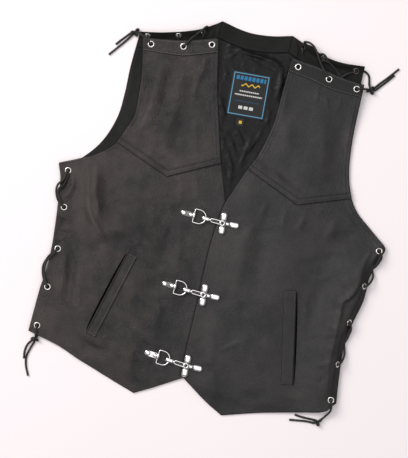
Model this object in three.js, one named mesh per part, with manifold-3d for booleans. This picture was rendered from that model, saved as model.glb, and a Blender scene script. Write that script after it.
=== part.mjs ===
// A laced leather vest, laid flat with its fronts up.
// Millimetres. X runs across the vest, Y from the hem to the collar, Z up from the surface it lies on.
import * as THREE from "three";
import { mergeVertices } from "three/addons/utils/BufferGeometryUtils.js";
import Module from "manifold-3d";

const wasm = await Module();
wasm.setup();

// Thicknesses
const BACK_WALL = 1.2;
const LINING_WALL = 1.0;
const FRONT_WALL = 1.8;
const BAND_WALL = 1.0;
const LABEL_WALL = 1.0;
const AIR = 0.35; // between two pieces that lie on each other
const SEAM = 0.5; // between two pieces that meet edge to edge
const FRONT_BASE = 2.95; // underside of a front where it lies on the lining

// Hardware
const LACE = 3.0;
const LACE_SIDES = 8;
const LACE_AIR = 0.2; // between a lace and what it lies on
const EYELET = { flange: 5.4, barrel: 3.2, bore: 2.7, hole: 3.6, proud: 0.3, cap: 0.8, slope: 0.9, sides: 8 };
const KNOT = { long: 5.6, wide: 4.6, high: 3.5 };

// Leather and metal colours
const LEATHER = new THREE.MeshStandardMaterial({ color: 0x44413f, roughness: 0.55 });
const LINING = new THREE.MeshStandardMaterial({ color: 0x1f1f22, roughness: 0.45 });
const CHROME = new THREE.MeshStandardMaterial({ color: 0xc9cbd0, roughness: 0.18, metalness: 1 });
const LABEL = new THREE.MeshStandardMaterial({ color: 0x14161c, roughness: 0.8 });
const THONG = new THREE.MeshStandardMaterial({ color: 0x2f2c2b, roughness: 0.6 });

// Outlines, each row one point of a smooth curve. Left and right are as seen from above.
const LEFT_HEM_OUTER = [
  { x: -255, y: -248 },
  { x: -230, y: -254 },
  { x: -204, y: -260.5 },
  { x: -165, y: -275 },
  { x: -116, y: -291.5 },
  { x: -69, y: -306.5 },
];
const LEFT_HEM_INNER = [
  { x: -69, y: -306.5 },
  { x: -33, y: -286 },
  { x: 9, y: -260 },
];
const LEFT_SIDE = [
  { x: -255, y: -248 },
  { x: -253, y: -180 },
  { x: -249.5, y: -140 },
  { x: -251, y: -95 },
  { x: -256, y: -45 },
  { x: -262, y: 0 },
  { x: -270.5, y: 24 },
];
const LEFT_ARMHOLE = [
  { x: -270.5, y: 24 },
  { x: -241, y: 38 },
  { x: -214, y: 52.5 },
  { x: -190, y: 75 },
  { x: -180, y: 99 },
  { x: -171, y: 124 },
  { x: -171, y: 149 },
  { x: -175, y: 195 },
  { x: -186, y: 249 },
];
const LEFT_CENTRE = [
  { x: 9, y: -260 },
  { x: 8, y: -150 },
  { x: 8, y: -40 },
  { x: 6, y: 12 },
  { x: -2, y: 39 },
  { x: -18.5, y: 84.5 },
  { x: -33, y: 132.5 },
  { x: -52, y: 200 },
  { x: -69, y: 276 },
];
const LEFT_SHOULDER = [
  { x: -186, y: 249 },
  { x: -122, y: 260 },
  { x: -69, y: 276 },
];
const RIGHT_HEM_INNER = [
  { x: -2.7, y: -260 },
  { x: 44, y: -291 },
  { x: 76, y: -308.5 },
];
const RIGHT_HEM_OUTER = [
  { x: 76, y: -308.5 },
  { x: 136, y: -290 },
  { x: 202, y: -273 },
  { x: 235, y: -263 },
  { x: 250, y: -247 },
];
const RIGHT_SIDE = [
  { x: 250, y: -247 },
  { x: 245, y: -208 },
  { x: 241, y: -150 },
  { x: 246, y: -115 },
  { x: 254, y: -78 },
  { x: 256, y: -30 },
  { x: 271, y: 12 },
];
const RIGHT_ARMHOLE = [
  { x: 271, y: 12 },
  { x: 234, y: 40 },
  { x: 211.5, y: 58 },
  { x: 195.5, y: 82 },
  { x: 183.5, y: 120 },
  { x: 178, y: 160 },
  { x: 175.5, y: 208 },
  { x: 174.5, y: 258 },
];
const RIGHT_CENTRE = [
  { x: -2.7, y: -260 },
  { x: -3, y: -148 },
  { x: -4, y: -40 },
  { x: 3, y: 23 },
  { x: 11.5, y: 47 },
  { x: 26, y: 85 },
  { x: 37, y: 110 },
  { x: 48.5, y: 162 },
  { x: 51, y: 215 },
  { x: 53, y: 273 },
];
const RIGHT_SHOULDER = [
  { x: 53, y: 273 },
  { x: 94, y: 269 },
  { x: 135, y: 261.5 },
  { x: 174.5, y: 258 },
];
const BACK_HEM = [
  { x: -251, y: -243 },
  { x: 0, y: -253 },
  { x: 246, y: -240 },
];
const BACK_LEFT_SIDE = [
  { x: -251, y: -243 },
  { x: -248, y: -140 },
  { x: -254, y: -45 },
  { x: -265, y: 19 },
];
const BACK_LEFT_ARMHOLE = [
  { x: -265, y: 19 },
  { x: -241, y: 37 },
  { x: -213, y: 72 },
  { x: -197, y: 117 },
  { x: -194.5, y: 156 },
  { x: -195.5, y: 201 },
  { x: -193, y: 257 },
];
const BACK_LEFT_SHOULDER = [
  { x: -193, y: 257 },
  { x: -154, y: 265 },
  { x: -99, y: 284 },
  { x: -69, y: 305 },
];
const BACK_NECK = [
  { x: -69, y: 305 },
  { x: -25, y: 298 },
  { x: 8, y: 300 },
  { x: 50, y: 307 },
];
const BACK_RIGHT_SHOULDER = [
  { x: 50, y: 307 },
  { x: 100, y: 290 },
  { x: 135, y: 283 },
  { x: 169, y: 286 },
];
const BACK_RIGHT_SIDE = [
  { x: 246, y: -240 },
  { x: 238, y: -150 },
  { x: 243, y: -115 },
  { x: 252, y: -60 },
  { x: 266, y: 10 },
];
const BACK_RIGHT_ARMHOLE = [
  { x: 266, y: 10 },
  { x: 232, y: 36 },
  { x: 208, y: 56 },
  { x: 191, y: 82 },
  { x: 179, y: 122 },
  { x: 171.5, y: 200 },
  { x: 169, y: 286 },
];

// Lower edge of each yoke, a shallow V
const LEFT_YOKE = { arm: [-188, 78], tip: [-97.5, 43.5], neck: [-18.5, 84.5] };
const RIGHT_YOKE = { neck: [26, 85], tip: [116, 48], arm: [197, 78] };
const YOKE_LAP = 9; // how far a front runs up under its yoke

// Large folds of the fronts: a soft ridge (or trough, below zero) along a line
const FOLDS = [
  { name: "left side swell", x0: -222, y0: 25, x1: -184, y1: -75, high: 4.5, wide: 20 },
  { name: "left chest swell", x0: -120, y0: 10, x1: -90, y1: -120, high: 3.0, wide: 38 },
  { name: "left hem swell", x0: -190, y0: -190, x1: -95, y1: -250, high: 2.6, wide: 32 },
  { name: "right chest swell", x0: 110, y0: 10, x1: 120, y1: -100, high: 3.6, wide: 36 },
  { name: "right hem swell", x0: 80, y0: -200, x1: 150, y1: -255, high: 2.4, wide: 30 },
  { name: "right middle swell", x0: 88, y0: -115, x1: 98, y1: -185, high: 2.8, wide: 36 },
  { name: "right crease", x0: 70, y0: -138, x1: 106, y1: -172, high: -1.8, wide: 12 },
  { name: "left yoke swell", x0: -135, y0: 190, x1: -110, y1: 90, high: 3.2, wide: 26 },
  { name: "right yoke swell", x0: 110, y0: 195, x1: 125, y1: 90, high: 3.4, wide: 28 },
];

// How the fronts stand off the lining: heights, and the places where they start and fade
const SIDE_LIFT = { high: 3.1, leftReach: 42, rightReach: 30 }; // over the side laces
const SIDE_ROLL = { high: 8.6, rise: 10, end: 78, fall: 58, top: 32, fade: 70, least: 0.55 }; // the rolled right side
const OVERLAP = { high: 2.3, end: 78, reach: 28, top: 60, fade: 30 }; // right front over left
const UNDER_ARM = { top: 70, fade: 50 };
const CLEAR_OF_CLASPS = { left: -72, right: 50, fade: 26 };
const SHOULDER_LIFT = { high: 6.0, level: 16, reach: 80 };
const HEM_DROP = { high: 2.3, start: -268, reach: 26 };
const BACK_LIFT = { high: 4.4, reach: 50, middle: -8, neck: 30, fade: 35 };

// Shoulder lines: a point and the slope through it
const FRONT_TOPS = { left: { x: -186, y: 249, slope: 0.23 }, right: { x: 174, y: 258, slope: -0.12 } };
const BACK_TOPS = { left: { x: -193, y: 257, slope: 0.38 }, right: { x: 169, y: 286, slope: -0.17 } };

// Eyelets, from the top of each side or the outer end of each shoulder
const SIDE_EYELETS = {
  left: [
    { x: -253.5, y: 15.5 },
    { x: -246, y: -43 },
    { x: -240.5, y: -110 },
    { x: -242, y: -173 },
    { x: -244, y: -237 },
  ],
  right: [
    { x: 260, y: 6 },
    { x: 249.5, y: -54 },
    { x: 239.5, y: -116 },
    { x: 237, y: -185 },
    { x: 240, y: -243 },
  ],
};
const SHOULDER_EYELETS = {
  left: [
    { x: -171, y: 242 },
    { x: -120, y: 250.5 },
    { x: -76.5, y: 264 },
  ],
  right: [
    { x: 164.5, y: 249 },
    { x: 118, y: 254 },
    { x: 65.5, y: 261.5 },
  ],
};
const BACK_EYELETS = {
  left: [
    { x: -180, y: 250.5 },
    { x: -130, y: 262 },
    { x: -94, y: 279 },
  ],
  right: [
    { x: 157, y: 276 },
    { x: 101, y: 280 },
    { x: 66, y: 291.5 },
  ],
};

// Helpers

function smooth(t) {
  const c = Math.min(1, Math.max(0, t));
  return c * c * (3 - 2 * c);
}

// A smooth curve through a table's points.
function curve(rows) {
  return new THREE.CatmullRomCurve3(rows.map((r) => new THREE.Vector3(r.x, r.y, 0)), false, "centripetal");
}

// Even fractions 0 to 1 in the given number of steps.
function even(steps) {
  return Array.from({ length: steps + 1 }, (_, i) => i / steps);
}

// Points of a chain of curves at the given fractions of its length, with each joint kept as a sample.
function edge(curves, stops) {
  const lengths = curves.map((c) => c.getLength());
  const whole = lengths.reduce((a, b) => a + b, 0);
  const kept = stops.slice();
  let run = 0;
  for (const length of lengths.slice(0, -1)) {
    run += length;
    const corner = run / whole;
    let near = 1;
    for (let i = 1; i < kept.length - 1; i++) {
      if (Math.abs(kept[i] - corner) < Math.abs(kept[near] - corner)) near = i;
    }
    kept[near] = corner;
  }
  return kept.map((stop) => {
    let rest = stop * whole;
    let i = 0;
    while (i < curves.length - 1 && rest > lengths[i] + 1e-6) {
      rest -= lengths[i];
      i += 1;
    }
    return curves[i].getPointAt(Math.min(1, rest / lengths[i]));
  });
}

// The part of a curve from one fraction of its length to another, as a curve of its own.
function stretch(whole, from, to) {
  return new THREE.CatmullRomCurve3(
    even(8).map((t) => whole.getPointAt(from + (to - from) * t)),
    false,
    "centripetal",
  );
}

// The fraction of a curve's length at which it crosses a height y.
function fractionAtY(whole, y) {
  let best = 0;
  for (const t of even(400)) {
    if (Math.abs(whole.getPointAt(t).y - y) < Math.abs(whole.getPointAt(best).y - y)) best = t;
  }
  return best;
}

// x of a side outline at a height y.
function edgeX(rows, y) {
  const last = rows.length - 1;
  if (y <= rows[0].y) return rows[0].x;
  for (let i = 0; i < last; i++) {
    const [a, b] = [rows[i], rows[i + 1]];
    if (y <= b.y) return a.x + ((b.x - a.x) * (y - a.y)) / (b.y - a.y);
  }
  return rows[last].x;
}

// A grid of points between four edges: bottom and top run left to right, left and right run up.
function patch(bottom, top, left, right, across, up, height) {
  const rows = [];
  const [m, n] = [across.length - 1, up.length - 1];
  for (let j = 0; j <= n; j++) {
    const row = [];
    for (let i = 0; i <= m; i++) {
      const [u, v] = [across[i], up[j]];
      const p = new THREE.Vector3()
        .addScaledVector(bottom[i], 1 - v)
        .addScaledVector(top[i], v)
        .addScaledVector(left[j], 1 - u)
        .addScaledVector(right[j], u)
        .addScaledVector(bottom[0], -(1 - u) * (1 - v))
        .addScaledVector(bottom[m], -u * (1 - v))
        .addScaledVector(top[0], -(1 - u) * v)
        .addScaledVector(top[m], -u * v);
      p.z = height(p.x, p.y);
      row.push(p);
    }
    rows.push(row);
  }
  return rows;
}

// A sheet of cloth: a grid of lower points, and upper points a wall's thickness out from them.
class Sheet {
  constructor(lower, wall) {
    this.lower = lower;
    this.upper = movedOut(lower, wall);
  }

  // A sheet that lies on a block of this one, made from its points, moved out. The sides named in trim
  // stop short of the block's border by the seam's air.
  cover(rows, columns, wall, trim = []) {
    const grid = this.upper
      .slice(rows[0], rows[1] + 1)
      .map((row) => row.slice(columns[0], columns[1] + 1).map((p) => p.clone()));
    const pull = (p, towards) => p.add(towards.clone().sub(p).setLength(SEAM));
    const [n, m] = [grid.length - 1, grid[0].length - 1];
    if (trim.includes("left")) grid.forEach((row) => pull(row[0], row[1]));
    if (trim.includes("right")) grid.forEach((row) => pull(row[m], row[m - 1]));
    if (trim.includes("high")) grid[n].forEach((p, i) => pull(p, grid[n - 1][i]));
    return new Sheet(movedOut(grid, AIR), wall);
  }

  // The upper side's point and normal under a place seen from above.
  find(x, y) {
    const side = this.upper;
    for (let j = 0; j < side.length - 1; j++) {
      for (let i = 0; i < side[0].length - 1; i++) {
        const [a, b, c, d] = [side[j][i], side[j][i + 1], side[j + 1][i + 1], side[j + 1][i]];
        for (const t of [new THREE.Triangle(a, b, c), new THREE.Triangle(a, c, d)]) {
          const area = (t.b.x - t.a.x) * (t.c.y - t.a.y) - (t.c.x - t.a.x) * (t.b.y - t.a.y);
          const v = ((x - t.a.x) * (t.c.y - t.a.y) - (t.c.x - t.a.x) * (y - t.a.y)) / area;
          const w = ((t.b.x - t.a.x) * (y - t.a.y) - (x - t.a.x) * (t.b.y - t.a.y)) / area;
          if (v < -1e-6 || w < -1e-6 || v + w > 1 + 1e-6) continue;
          const z = t.a.z + v * (t.b.z - t.a.z) + w * (t.c.z - t.a.z);
          return { point: new THREE.Vector3(x, y, z), normal: t.getNormal(new THREE.Vector3()) };
        }
      }
    }
    return null;
  }

  geometry() {
    const [n, m] = [this.lower.length, this.lower[0].length];
    const points = [...this.lower.flat(), ...this.upper.flat()];
    const low = (j, i) => j * m + i;
    const high = (j, i) => n * m + j * m + i;
    const faces = [];
    const quad = (a, b, c, d) => faces.push(a, b, c, a, c, d);
    for (let j = 0; j < n - 1; j++) {
      for (let i = 0; i < m - 1; i++) {
        quad(high(j, i), high(j, i + 1), high(j + 1, i + 1), high(j + 1, i));
        faces.push(low(j, i), low(j + 1, i + 1), low(j, i + 1));
        faces.push(low(j, i), low(j + 1, i), low(j + 1, i + 1));
      }
    }
    for (let i = 0; i < m - 1; i++) {
      quad(low(0, i), low(0, i + 1), high(0, i + 1), high(0, i));
      quad(low(n - 1, i + 1), low(n - 1, i), high(n - 1, i), high(n - 1, i + 1));
    }
    for (let j = 0; j < n - 1; j++) {
      quad(low(j + 1, 0), low(j, 0), high(j, 0), high(j + 1, 0));
      quad(low(j, m - 1), low(j + 1, m - 1), high(j + 1, m - 1), high(j, m - 1));
    }
    const made = new THREE.BufferGeometry();
    made.setAttribute("position", new THREE.Float32BufferAttribute(points.flatMap((p) => p.toArray()), 3));
    made.setIndex(faces);
    return made;
  }
}

// The normal of a grid of points at one of them, from its neighbours.
function normalAt(grid, j, i) {
  const [n, m] = [grid.length - 1, grid[0].length - 1];
  const along = grid[j][Math.min(m, i + 1)].clone().sub(grid[j][Math.max(0, i - 1)]);
  const up = grid[Math.min(n, j + 1)][i].clone().sub(grid[Math.max(0, j - 1)][i]);
  return along.cross(up).normalize();
}

// A grid of points moved out along its normals.
function movedOut(grid, distance) {
  return grid.map((row, j) => row.map((p, i) => p.clone().addScaledVector(normalAt(grid, j, i), distance)));
}

// A geometry with only positions, shared vertices merged and faces turned out.
function closed(geometry) {
  const bare = new THREE.BufferGeometry();
  const source = geometry.index ? geometry.toNonIndexed() : geometry;
  bare.setAttribute("position", source.getAttribute("position").clone());
  const merged = mergeVertices(bare, 1e-3);
  const p = merged.attributes.position;
  const index = merged.index.array;
  const [a, b, c] = [new THREE.Vector3(), new THREE.Vector3(), new THREE.Vector3()];
  const kept = [];
  let volume = 0;
  for (let f = 0; f < index.length; f += 3) {
    const [ia, ib, ic] = index.slice(f, f + 3);
    if (ia === ib || ib === ic || ic === ia) continue;
    kept.push(ia, ib, ic);
    const cross = b.fromBufferAttribute(p, ib).cross(c.fromBufferAttribute(p, ic));
    volume += a.fromBufferAttribute(p, ia).dot(cross);
  }
  merged.setIndex(volume < 0 ? kept.reverse() : kept);
  return merged;
}

function solid(geometry) {
  const made = closed(geometry);
  return new wasm.Manifold(
    new wasm.Mesh({
      numProp: 3,
      vertProperties: made.attributes.position.array,
      triVerts: new Uint32Array(made.index.array),
    }),
  );
}

function fromSolid(made) {
  const mesh = made.getMesh();
  const geometry = new THREE.BufferGeometry();
  geometry.setAttribute("position", new THREE.BufferAttribute(new Float32Array(mesh.vertProperties), 3));
  geometry.setIndex(new THREE.BufferAttribute(new Uint32Array(mesh.triVerts), 1));
  return geometry;
}

function cut(geometry, cutters) {
  return fromSolid(cutters.reduce((left, cutter) => left.subtract(solid(cutter)), solid(geometry)));
}

function join(geometries) {
  return fromSolid(geometries.map(solid).reduce((a, b) => a.add(b)));
}

const vest = new THREE.Group();

function piece(name, geometry, material, parent = vest) {
  const mesh = new THREE.Mesh(closed(geometry), material);
  mesh.name = name;
  parent.add(mesh);
  return mesh;
}

// Heights

// How far a place lies below a shoulder line.
function belowTop(tops, x, y) {
  const top = x < 0 ? tops.left : tops.right;
  return top.y + (x - top.x) * top.slope - y;
}

// How far the back's shoulders stand off the surface, where the lace runs under them.
function backLift(x, y) {
  const beside = smooth((Math.abs(x - BACK_LIFT.middle) - BACK_LIFT.neck) / BACK_LIFT.fade);
  return BACK_LIFT.high * smooth(1 - belowTop(BACK_TOPS, x, y) / BACK_LIFT.reach) * beside;
}

function foldHeight(x, y) {
  let sum = 0;
  for (const f of FOLDS) {
    const [dx, dy] = [f.x1 - f.x0, f.y1 - f.y0];
    const length = Math.hypot(dx, dy);
    const along = ((x - f.x0) * dx + (y - f.y0) * dy) / length;
    const off = ((x - f.x0) * dy - (y - f.y0) * dx) / length;
    const past = Math.max(0, -along, along - length);
    sum += f.high * Math.exp(-(off * off + past * past) / (f.wide * f.wide));
  }
  return sum;
}

// Underside of the left front and yoke, level along the centre where the clasps' tabs sit.
function leftHeight(x, y) {
  const fromSide = x - edgeX(LEFT_SIDE, y);
  const side = SIDE_LIFT.high * smooth(1 - fromSide / SIDE_LIFT.leftReach) * underArm(y);
  const folds = foldHeight(x, y) * smooth((CLEAR_OF_CLASPS.left - x) / CLEAR_OF_CLASPS.fade);
  return FRONT_BASE + side + folds + shoulderRise(x, y) - hemDrop(y);
}

// Underside of the right front and yoke: it lies over the left one at the centre, and its side rolls down.
function rightHeight(x, y) {
  const fromSide = edgeX(RIGHT_SIDE, y) - x;
  const atHem = SIDE_ROLL.least + (1 - SIDE_ROLL.least) * smooth((y - HEM_DROP.start) / 60);
  const across = smooth((fromSide - 0.5) / SIDE_ROLL.rise) * smooth((SIDE_ROLL.end - fromSide) / SIDE_ROLL.fall);
  const crest = SIDE_ROLL.high * smooth((SIDE_ROLL.top - y) / SIDE_ROLL.fade) * atHem * across;
  const side = SIDE_LIFT.high * smooth(1 - fromSide / SIDE_LIFT.rightReach) * underArm(y);
  const atCentre = smooth((OVERLAP.end - x) / OVERLAP.reach);
  const overlap = OVERLAP.high * atCentre * smooth((OVERLAP.top - y) / OVERLAP.fade);
  const folds = foldHeight(x, y) * smooth((x - CLEAR_OF_CLASPS.right) / CLEAR_OF_CLASPS.fade);
  return FRONT_BASE + side + crest + overlap + folds + shoulderRise(x, y) - hemDrop(y);
}

// One below the armholes, fading to nothing beside them.
function underArm(y) {
  return smooth((UNDER_ARM.top - y) / UNDER_ARM.fade);
}

// The yokes rise to the laced shoulders.
function shoulderRise(x, y) {
  const down = belowTop(FRONT_TOPS, x, y) - SHOULDER_LIFT.level;
  return SHOULDER_LIFT.high * smooth(1 - down / SHOULDER_LIFT.reach);
}

// Past the back's hem the points of the fronts come down to the surface.
function hemDrop(y) {
  return HEM_DROP.high * smooth((HEM_DROP.start - y) / HEM_DROP.reach);
}

// How far a yoke stands up to lie over its front's upper edge.
function lapRise(x, y, yoke) {
  const outer = Math.sign(x - yoke.tip[0]) === Math.sign(yoke.arm[0] - yoke.tip[0]) ? yoke.arm : yoke.neck;
  const seam = yoke.tip[1] + ((outer[1] - yoke.tip[1]) * (x - yoke.tip[0])) / (outer[0] - yoke.tip[0]);
  return (FRONT_WALL + 0.7) * smooth(1 - (y - seam - YOKE_LAP - 3) / 16);
}

// Panels

function line(a, b) {
  return new THREE.LineCurve3(new THREE.Vector3(a[0], a[1], 0), new THREE.Vector3(b[0], b[1], 0));
}

// Where a front's outline meets its yoke's lower edge, with the front's lap over it.
function yokeStops(outline, y) {
  return { seam: fractionAtY(outline, y), lap: fractionAtY(outline, y + YOKE_LAP) };
}

// What the two fronts are made from. Borders run left to right, so the left front's outer one comes first.
const FRONTS = {
  left: {
    hems: [LEFT_HEM_OUTER, LEFT_HEM_INNER],
    side: LEFT_SIDE,
    armhole: LEFT_ARMHOLE,
    centre: LEFT_CENTRE,
    shoulder: LEFT_SHOULDER,
    yoke: LEFT_YOKE,
    height: leftHeight,
    across: [0, 0.05, 0.13, 0.22, 0.31, 0.4, 0.5, 0.6, 0.69, 0.79, 0.89, 1],
    outerFirst: true,
  },
  right: {
    hems: [RIGHT_HEM_INNER, RIGHT_HEM_OUTER],
    side: RIGHT_SIDE,
    armhole: RIGHT_ARMHOLE,
    centre: RIGHT_CENTRE,
    shoulder: RIGHT_SHOULDER,
    yoke: RIGHT_YOKE,
    height: rightHeight,
    across: [0, 0.1, 0.22, 0.33, 0.44, 0.54, 0.64, 0.73, 0.81, 0.875, 0.925, 0.96, 0.985, 1],
    outerFirst: false,
  },
};
const FRONT_UP = even(14);
const YOKE_ACROSS = even(8);
const YOKE_UP = [0, 0.07, 0.16, 0.28, 0.4, 0.53, 0.66, 0.78, 0.89, 1];

// A front from the hem to its lap, and the yoke over it.
function frontPanels(spec) {
  const armhole = curve(spec.armhole);
  const centre = curve(spec.centre);
  const arm = yokeStops(armhole, spec.yoke.arm[1]);
  const neck = yokeStops(centre, spec.yoke.neck[1]);
  const inOrder = (outer, inner) => (spec.outerFirst ? [outer, inner] : [inner, outer]);
  // A yoke's V between two points, through its tip moved up
  const vee = (outer, inner, lap) => {
    const [from, to] = inOrder(outer.toArray(), inner.toArray());
    const tip = [spec.yoke.tip[0], spec.yoke.tip[1] + lap];
    return [line(from, tip), line(tip, to)];
  };
  const lap = vee(armhole.getPointAt(arm.lap), centre.getPointAt(neck.lap), YOKE_LAP);
  const seam = vee(armhole.getPointAt(arm.seam), centre.getPointAt(neck.seam), 0);
  const bodySides = inOrder([curve(spec.side), stretch(armhole, 0, arm.lap)], [stretch(centre, 0, neck.lap)]);
  const yokeSides = inOrder([stretch(armhole, arm.seam, 1)], [stretch(centre, neck.seam, 1)]);
  const body = patch(
    edge(spec.hems.map(curve), spec.across),
    edge(lap, spec.across),
    ...bodySides.map((side) => edge(side, FRONT_UP)),
    spec.across,
    FRONT_UP,
    spec.height,
  );
  const yoke = patch(
    edge(seam, YOKE_ACROSS),
    edge([curve(spec.shoulder)], YOKE_ACROSS),
    ...yokeSides.map((side) => edge(side, YOKE_UP)),
    YOKE_ACROSS,
    YOKE_UP,
    (x, y) => spec.height(x, y) + lapRise(x, y, spec.yoke),
  );
  return { body: new Sheet(body, FRONT_WALL), yoke: new Sheet(yoke, FRONT_WALL) };
}

const BACK_COLUMNS = { shoulder: 3, neck: 8, last: 11 };
const BACK_ROWS = 14;

function backPanel() {
  const across = [0, 0.12, 0.24, 0.356, 0.42, 0.484, 0.547, 0.611, 0.675, 0.78, 0.89, 1];
  const up = [...even(BACK_ROWS - 1).map((t) => t * 0.955), 1];
  return new Sheet(
    patch(
      edge([curve(BACK_HEM)], across),
      edge([curve(BACK_LEFT_SHOULDER), curve(BACK_NECK), curve(BACK_RIGHT_SHOULDER)], across),
      edge([curve(BACK_LEFT_SIDE), curve(BACK_LEFT_ARMHOLE)], up),
      edge([curve(BACK_RIGHT_SIDE), curve(BACK_RIGHT_ARMHOLE)], up),
      across,
      up,
      backLift,
    ),
    BACK_WALL,
  );
}

// Eyelets

// A flanged eyelet through a stack of the given thickness, upright, from the stack's upper side.
function eyeletGeometry(stack) {
  const [under, over] = [-stack - EYELET.proud, EYELET.proud];
  const profile = [
    [EYELET.bore, under],
    [EYELET.barrel, under],
    [EYELET.barrel, over],
    [EYELET.flange, over],
    [EYELET.flange - EYELET.slope, over + EYELET.cap],
    [EYELET.bore, over + EYELET.cap],
    [EYELET.bore, under],
  ].map(([r, z]) => new THREE.Vector2(r, z));
  return new THREE.LatheGeometry(profile, EYELET.sides);
}

const Y_AXIS = new THREE.Vector3(0, 1, 0);

// Sets an eyelet in a sheet and returns what the lace needs of it, with the cutter for its hole.
function eyelet(name, sheet, place, stack) {
  const seat = sheet.find(place.x, place.y);
  const turn = new THREE.Quaternion().setFromUnitVectors(Y_AXIS, seat.normal);
  const mesh = piece(name, eyeletGeometry(stack), CHROME);
  mesh.position.copy(seat.point);
  mesh.quaternion.copy(turn);
  const cutter = new THREE.CylinderGeometry(EYELET.hole, EYELET.hole, 2 * stack + 8, EYELET.sides);
  cutter.applyQuaternion(turn);
  cutter.translate(seat.point.x, seat.point.y, seat.point.z);
  return { cutter, point: seat.point, normal: seat.normal, stack };
}

// Laces

// A path that keeps every one of its points as a step of the tube along it.
class Route extends THREE.Curve {
  constructor(points) {
    super();
    this.points = points;
    this.smooth = new THREE.CatmullRomCurve3(points, false, "centripetal");
  }

  getPoint(t, target = new THREE.Vector3()) {
    return this.smooth.getPoint(t, target);
  }

  getPointAt(t, target = new THREE.Vector3()) {
    return this.smooth.getPoint(t, target);
  }

  getTangentAt(t, target = new THREE.Vector3()) {
    return this.smooth.getTangent(t, target);
  }
}

function laceTube(points) {
  const section = new THREE.Shape();
  for (const [i, t] of even(LACE_SIDES).slice(0, -1).entries()) {
    const a = 2 * Math.PI * t;
    const [x, y] = [(LACE / 2) * Math.cos(a), (LACE / 2) * Math.sin(a)];
    if (i === 0) section.moveTo(x, y);
    else section.lineTo(x, y);
  }
  return new THREE.ExtrudeGeometry(section, {
    steps: points.length - 1,
    extrudePath: new Route(points),
    bevelEnabled: false,
  });
}

// A knot: a small pebble round the point where the ends are tied.
function knotGeometry(at, turn) {
  const pebble = new THREE.SphereGeometry(1, 10, 6);
  pebble.scale(KNOT.long, KNOT.wide, KNOT.high);
  pebble.rotateZ(turn);
  pebble.translate(at.x, at.y, at.z);
  return pebble;
}

const ABOVE_EYELET = 2.9; // where a lace bends over an eyelet's cap
const BELOW_EYELET = 1.7; // and where it bends under its barrel

// Points of a lace through an eyelet, going down, or up when reversed.
function through(hole, up = false) {
  const points = [ABOVE_EYELET, -hole.stack / 2, -hole.stack - BELOW_EYELET].map((s) =>
    hole.point.clone().addScaledVector(hole.normal, s),
  );
  return up ? points.reverse() : points;
}

// A point of a lace that lies over a sheet, clear of the eyelets' caps.
function over(sheet, x, y) {
  const seat = sheet.find(x, y);
  return seat.point.addScaledVector(seat.normal, LACE / 2 + EYELET.proud + EYELET.cap + LACE_AIR);
}

function at(x, y, z) {
  return new THREE.Vector3(x, y, z);
}

const FLOOR = LACE / 2 + LACE_AIR; // centre of a lace that lies on the surface
const INSIDE = BACK_WALL + LACE / 2 + 0.3; // centre of a lace between front and back

// Clasps

// Places along a clasp from the outer end of its tab
const CLASP = {
  tabWidth: 9,
  plate: 1.4,
  ringBar: 21.5,
  ringHalf: 11,
  ringEnd: 42,
  ringWire: 1.15,
  sleeve: 2.7,
  sleeveBore: 1.6,
  noseStart: 34.2,
  noseEnd: 48.5,
  neckEnd: 60,
  crossCentre: 69.4,
  lobe: 5.6,
  reach: 12.2,
  rightReach: 19.4,
};
const RING = { corner: 2, flat: 4, tip: 1.6 }; // the bar's rounded ends, the bow's flat sides, its rise to the hook
const HOOK = { half: 3.6, hollow: 1.75, lift: 1.55, body: 3.4, slot: 1.1, thick: 2.2, plate: 1.6 };
const CLASPS = [
  { name: "top", x: -62.5, y: -6.8, turn: 0.4 },
  { name: "middle", x: -65.5, y: -124.4, turn: -1.6 },
  { name: "bottom", x: -66.0, y: -238.5, turn: -4.6 },
];
const TAB_SEAT = FRONT_BASE + FRONT_WALL + AIR; // underside of a tab on the left front
const CROSS_SEAT = 2.3 + AIR; // underside of a cross plate, above the tabs' seat

// A domed rivet head on a plate.
function dome(radius, high, x, y, z) {
  const profile = [
    [0, 0],
    [radius, 0],
    [radius * 0.86, high * 0.5],
    [radius * 0.5, high * 0.88],
    [0, high],
  ].map(([r, h]) => new THREE.Vector2(r, h));
  const made = new THREE.LatheGeometry(profile, 10);
  made.rotateX(Math.PI / 2);
  made.translate(x, y, z);
  return made;
}

function plate(shape, thick, z) {
  const made = new THREE.ExtrudeGeometry(shape, { depth: thick, bevelEnabled: false, curveSegments: 5 });
  made.translate(0, 0, z);
  return made;
}

function roundedBar(x0, x1, width) {
  const r = width * 0.3;
  const h = width / 2;
  const bar = new THREE.Shape();
  bar.moveTo(x0 + r, -h);
  bar.lineTo(x1, -h);
  bar.lineTo(x1, h);
  bar.lineTo(x0 + r, h);
  bar.absarc(x0 + r, h - r, r, Math.PI / 2, Math.PI);
  bar.absarc(x0 + r, -h + r, r, Math.PI, 1.5 * Math.PI);
  return bar;
}

// Tab plate with two rivet heads, its end rolled round the ring's bar.
function tabGeometry() {
  const half = CLASP.tabWidth / 2;
  const body = plate(roundedBar(0, CLASP.ringBar - 1.9, CLASP.tabWidth), CLASP.plate, 0);
  const sleeve = new THREE.Shape();
  sleeve.absarc(0, 0, CLASP.sleeve, 0, 2 * Math.PI);
  const bore = new THREE.Path();
  bore.absarc(0, 0, CLASP.sleeveBore, 0, 2 * Math.PI, true);
  sleeve.holes.push(bore);
  const depth = CLASP.tabWidth - 1;
  const roll = new THREE.ExtrudeGeometry(sleeve, { depth, bevelEnabled: false, curveSegments: 6 });
  roll.rotateX(Math.PI / 2);
  roll.translate(CLASP.ringBar, half - 0.5, CLASP.sleeve);
  const heads = [5, 13].map((x) => dome(3.1, 1.5, x, 0, CLASP.plate - 0.1));
  return join([body, roll, ...heads]);
}

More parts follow.
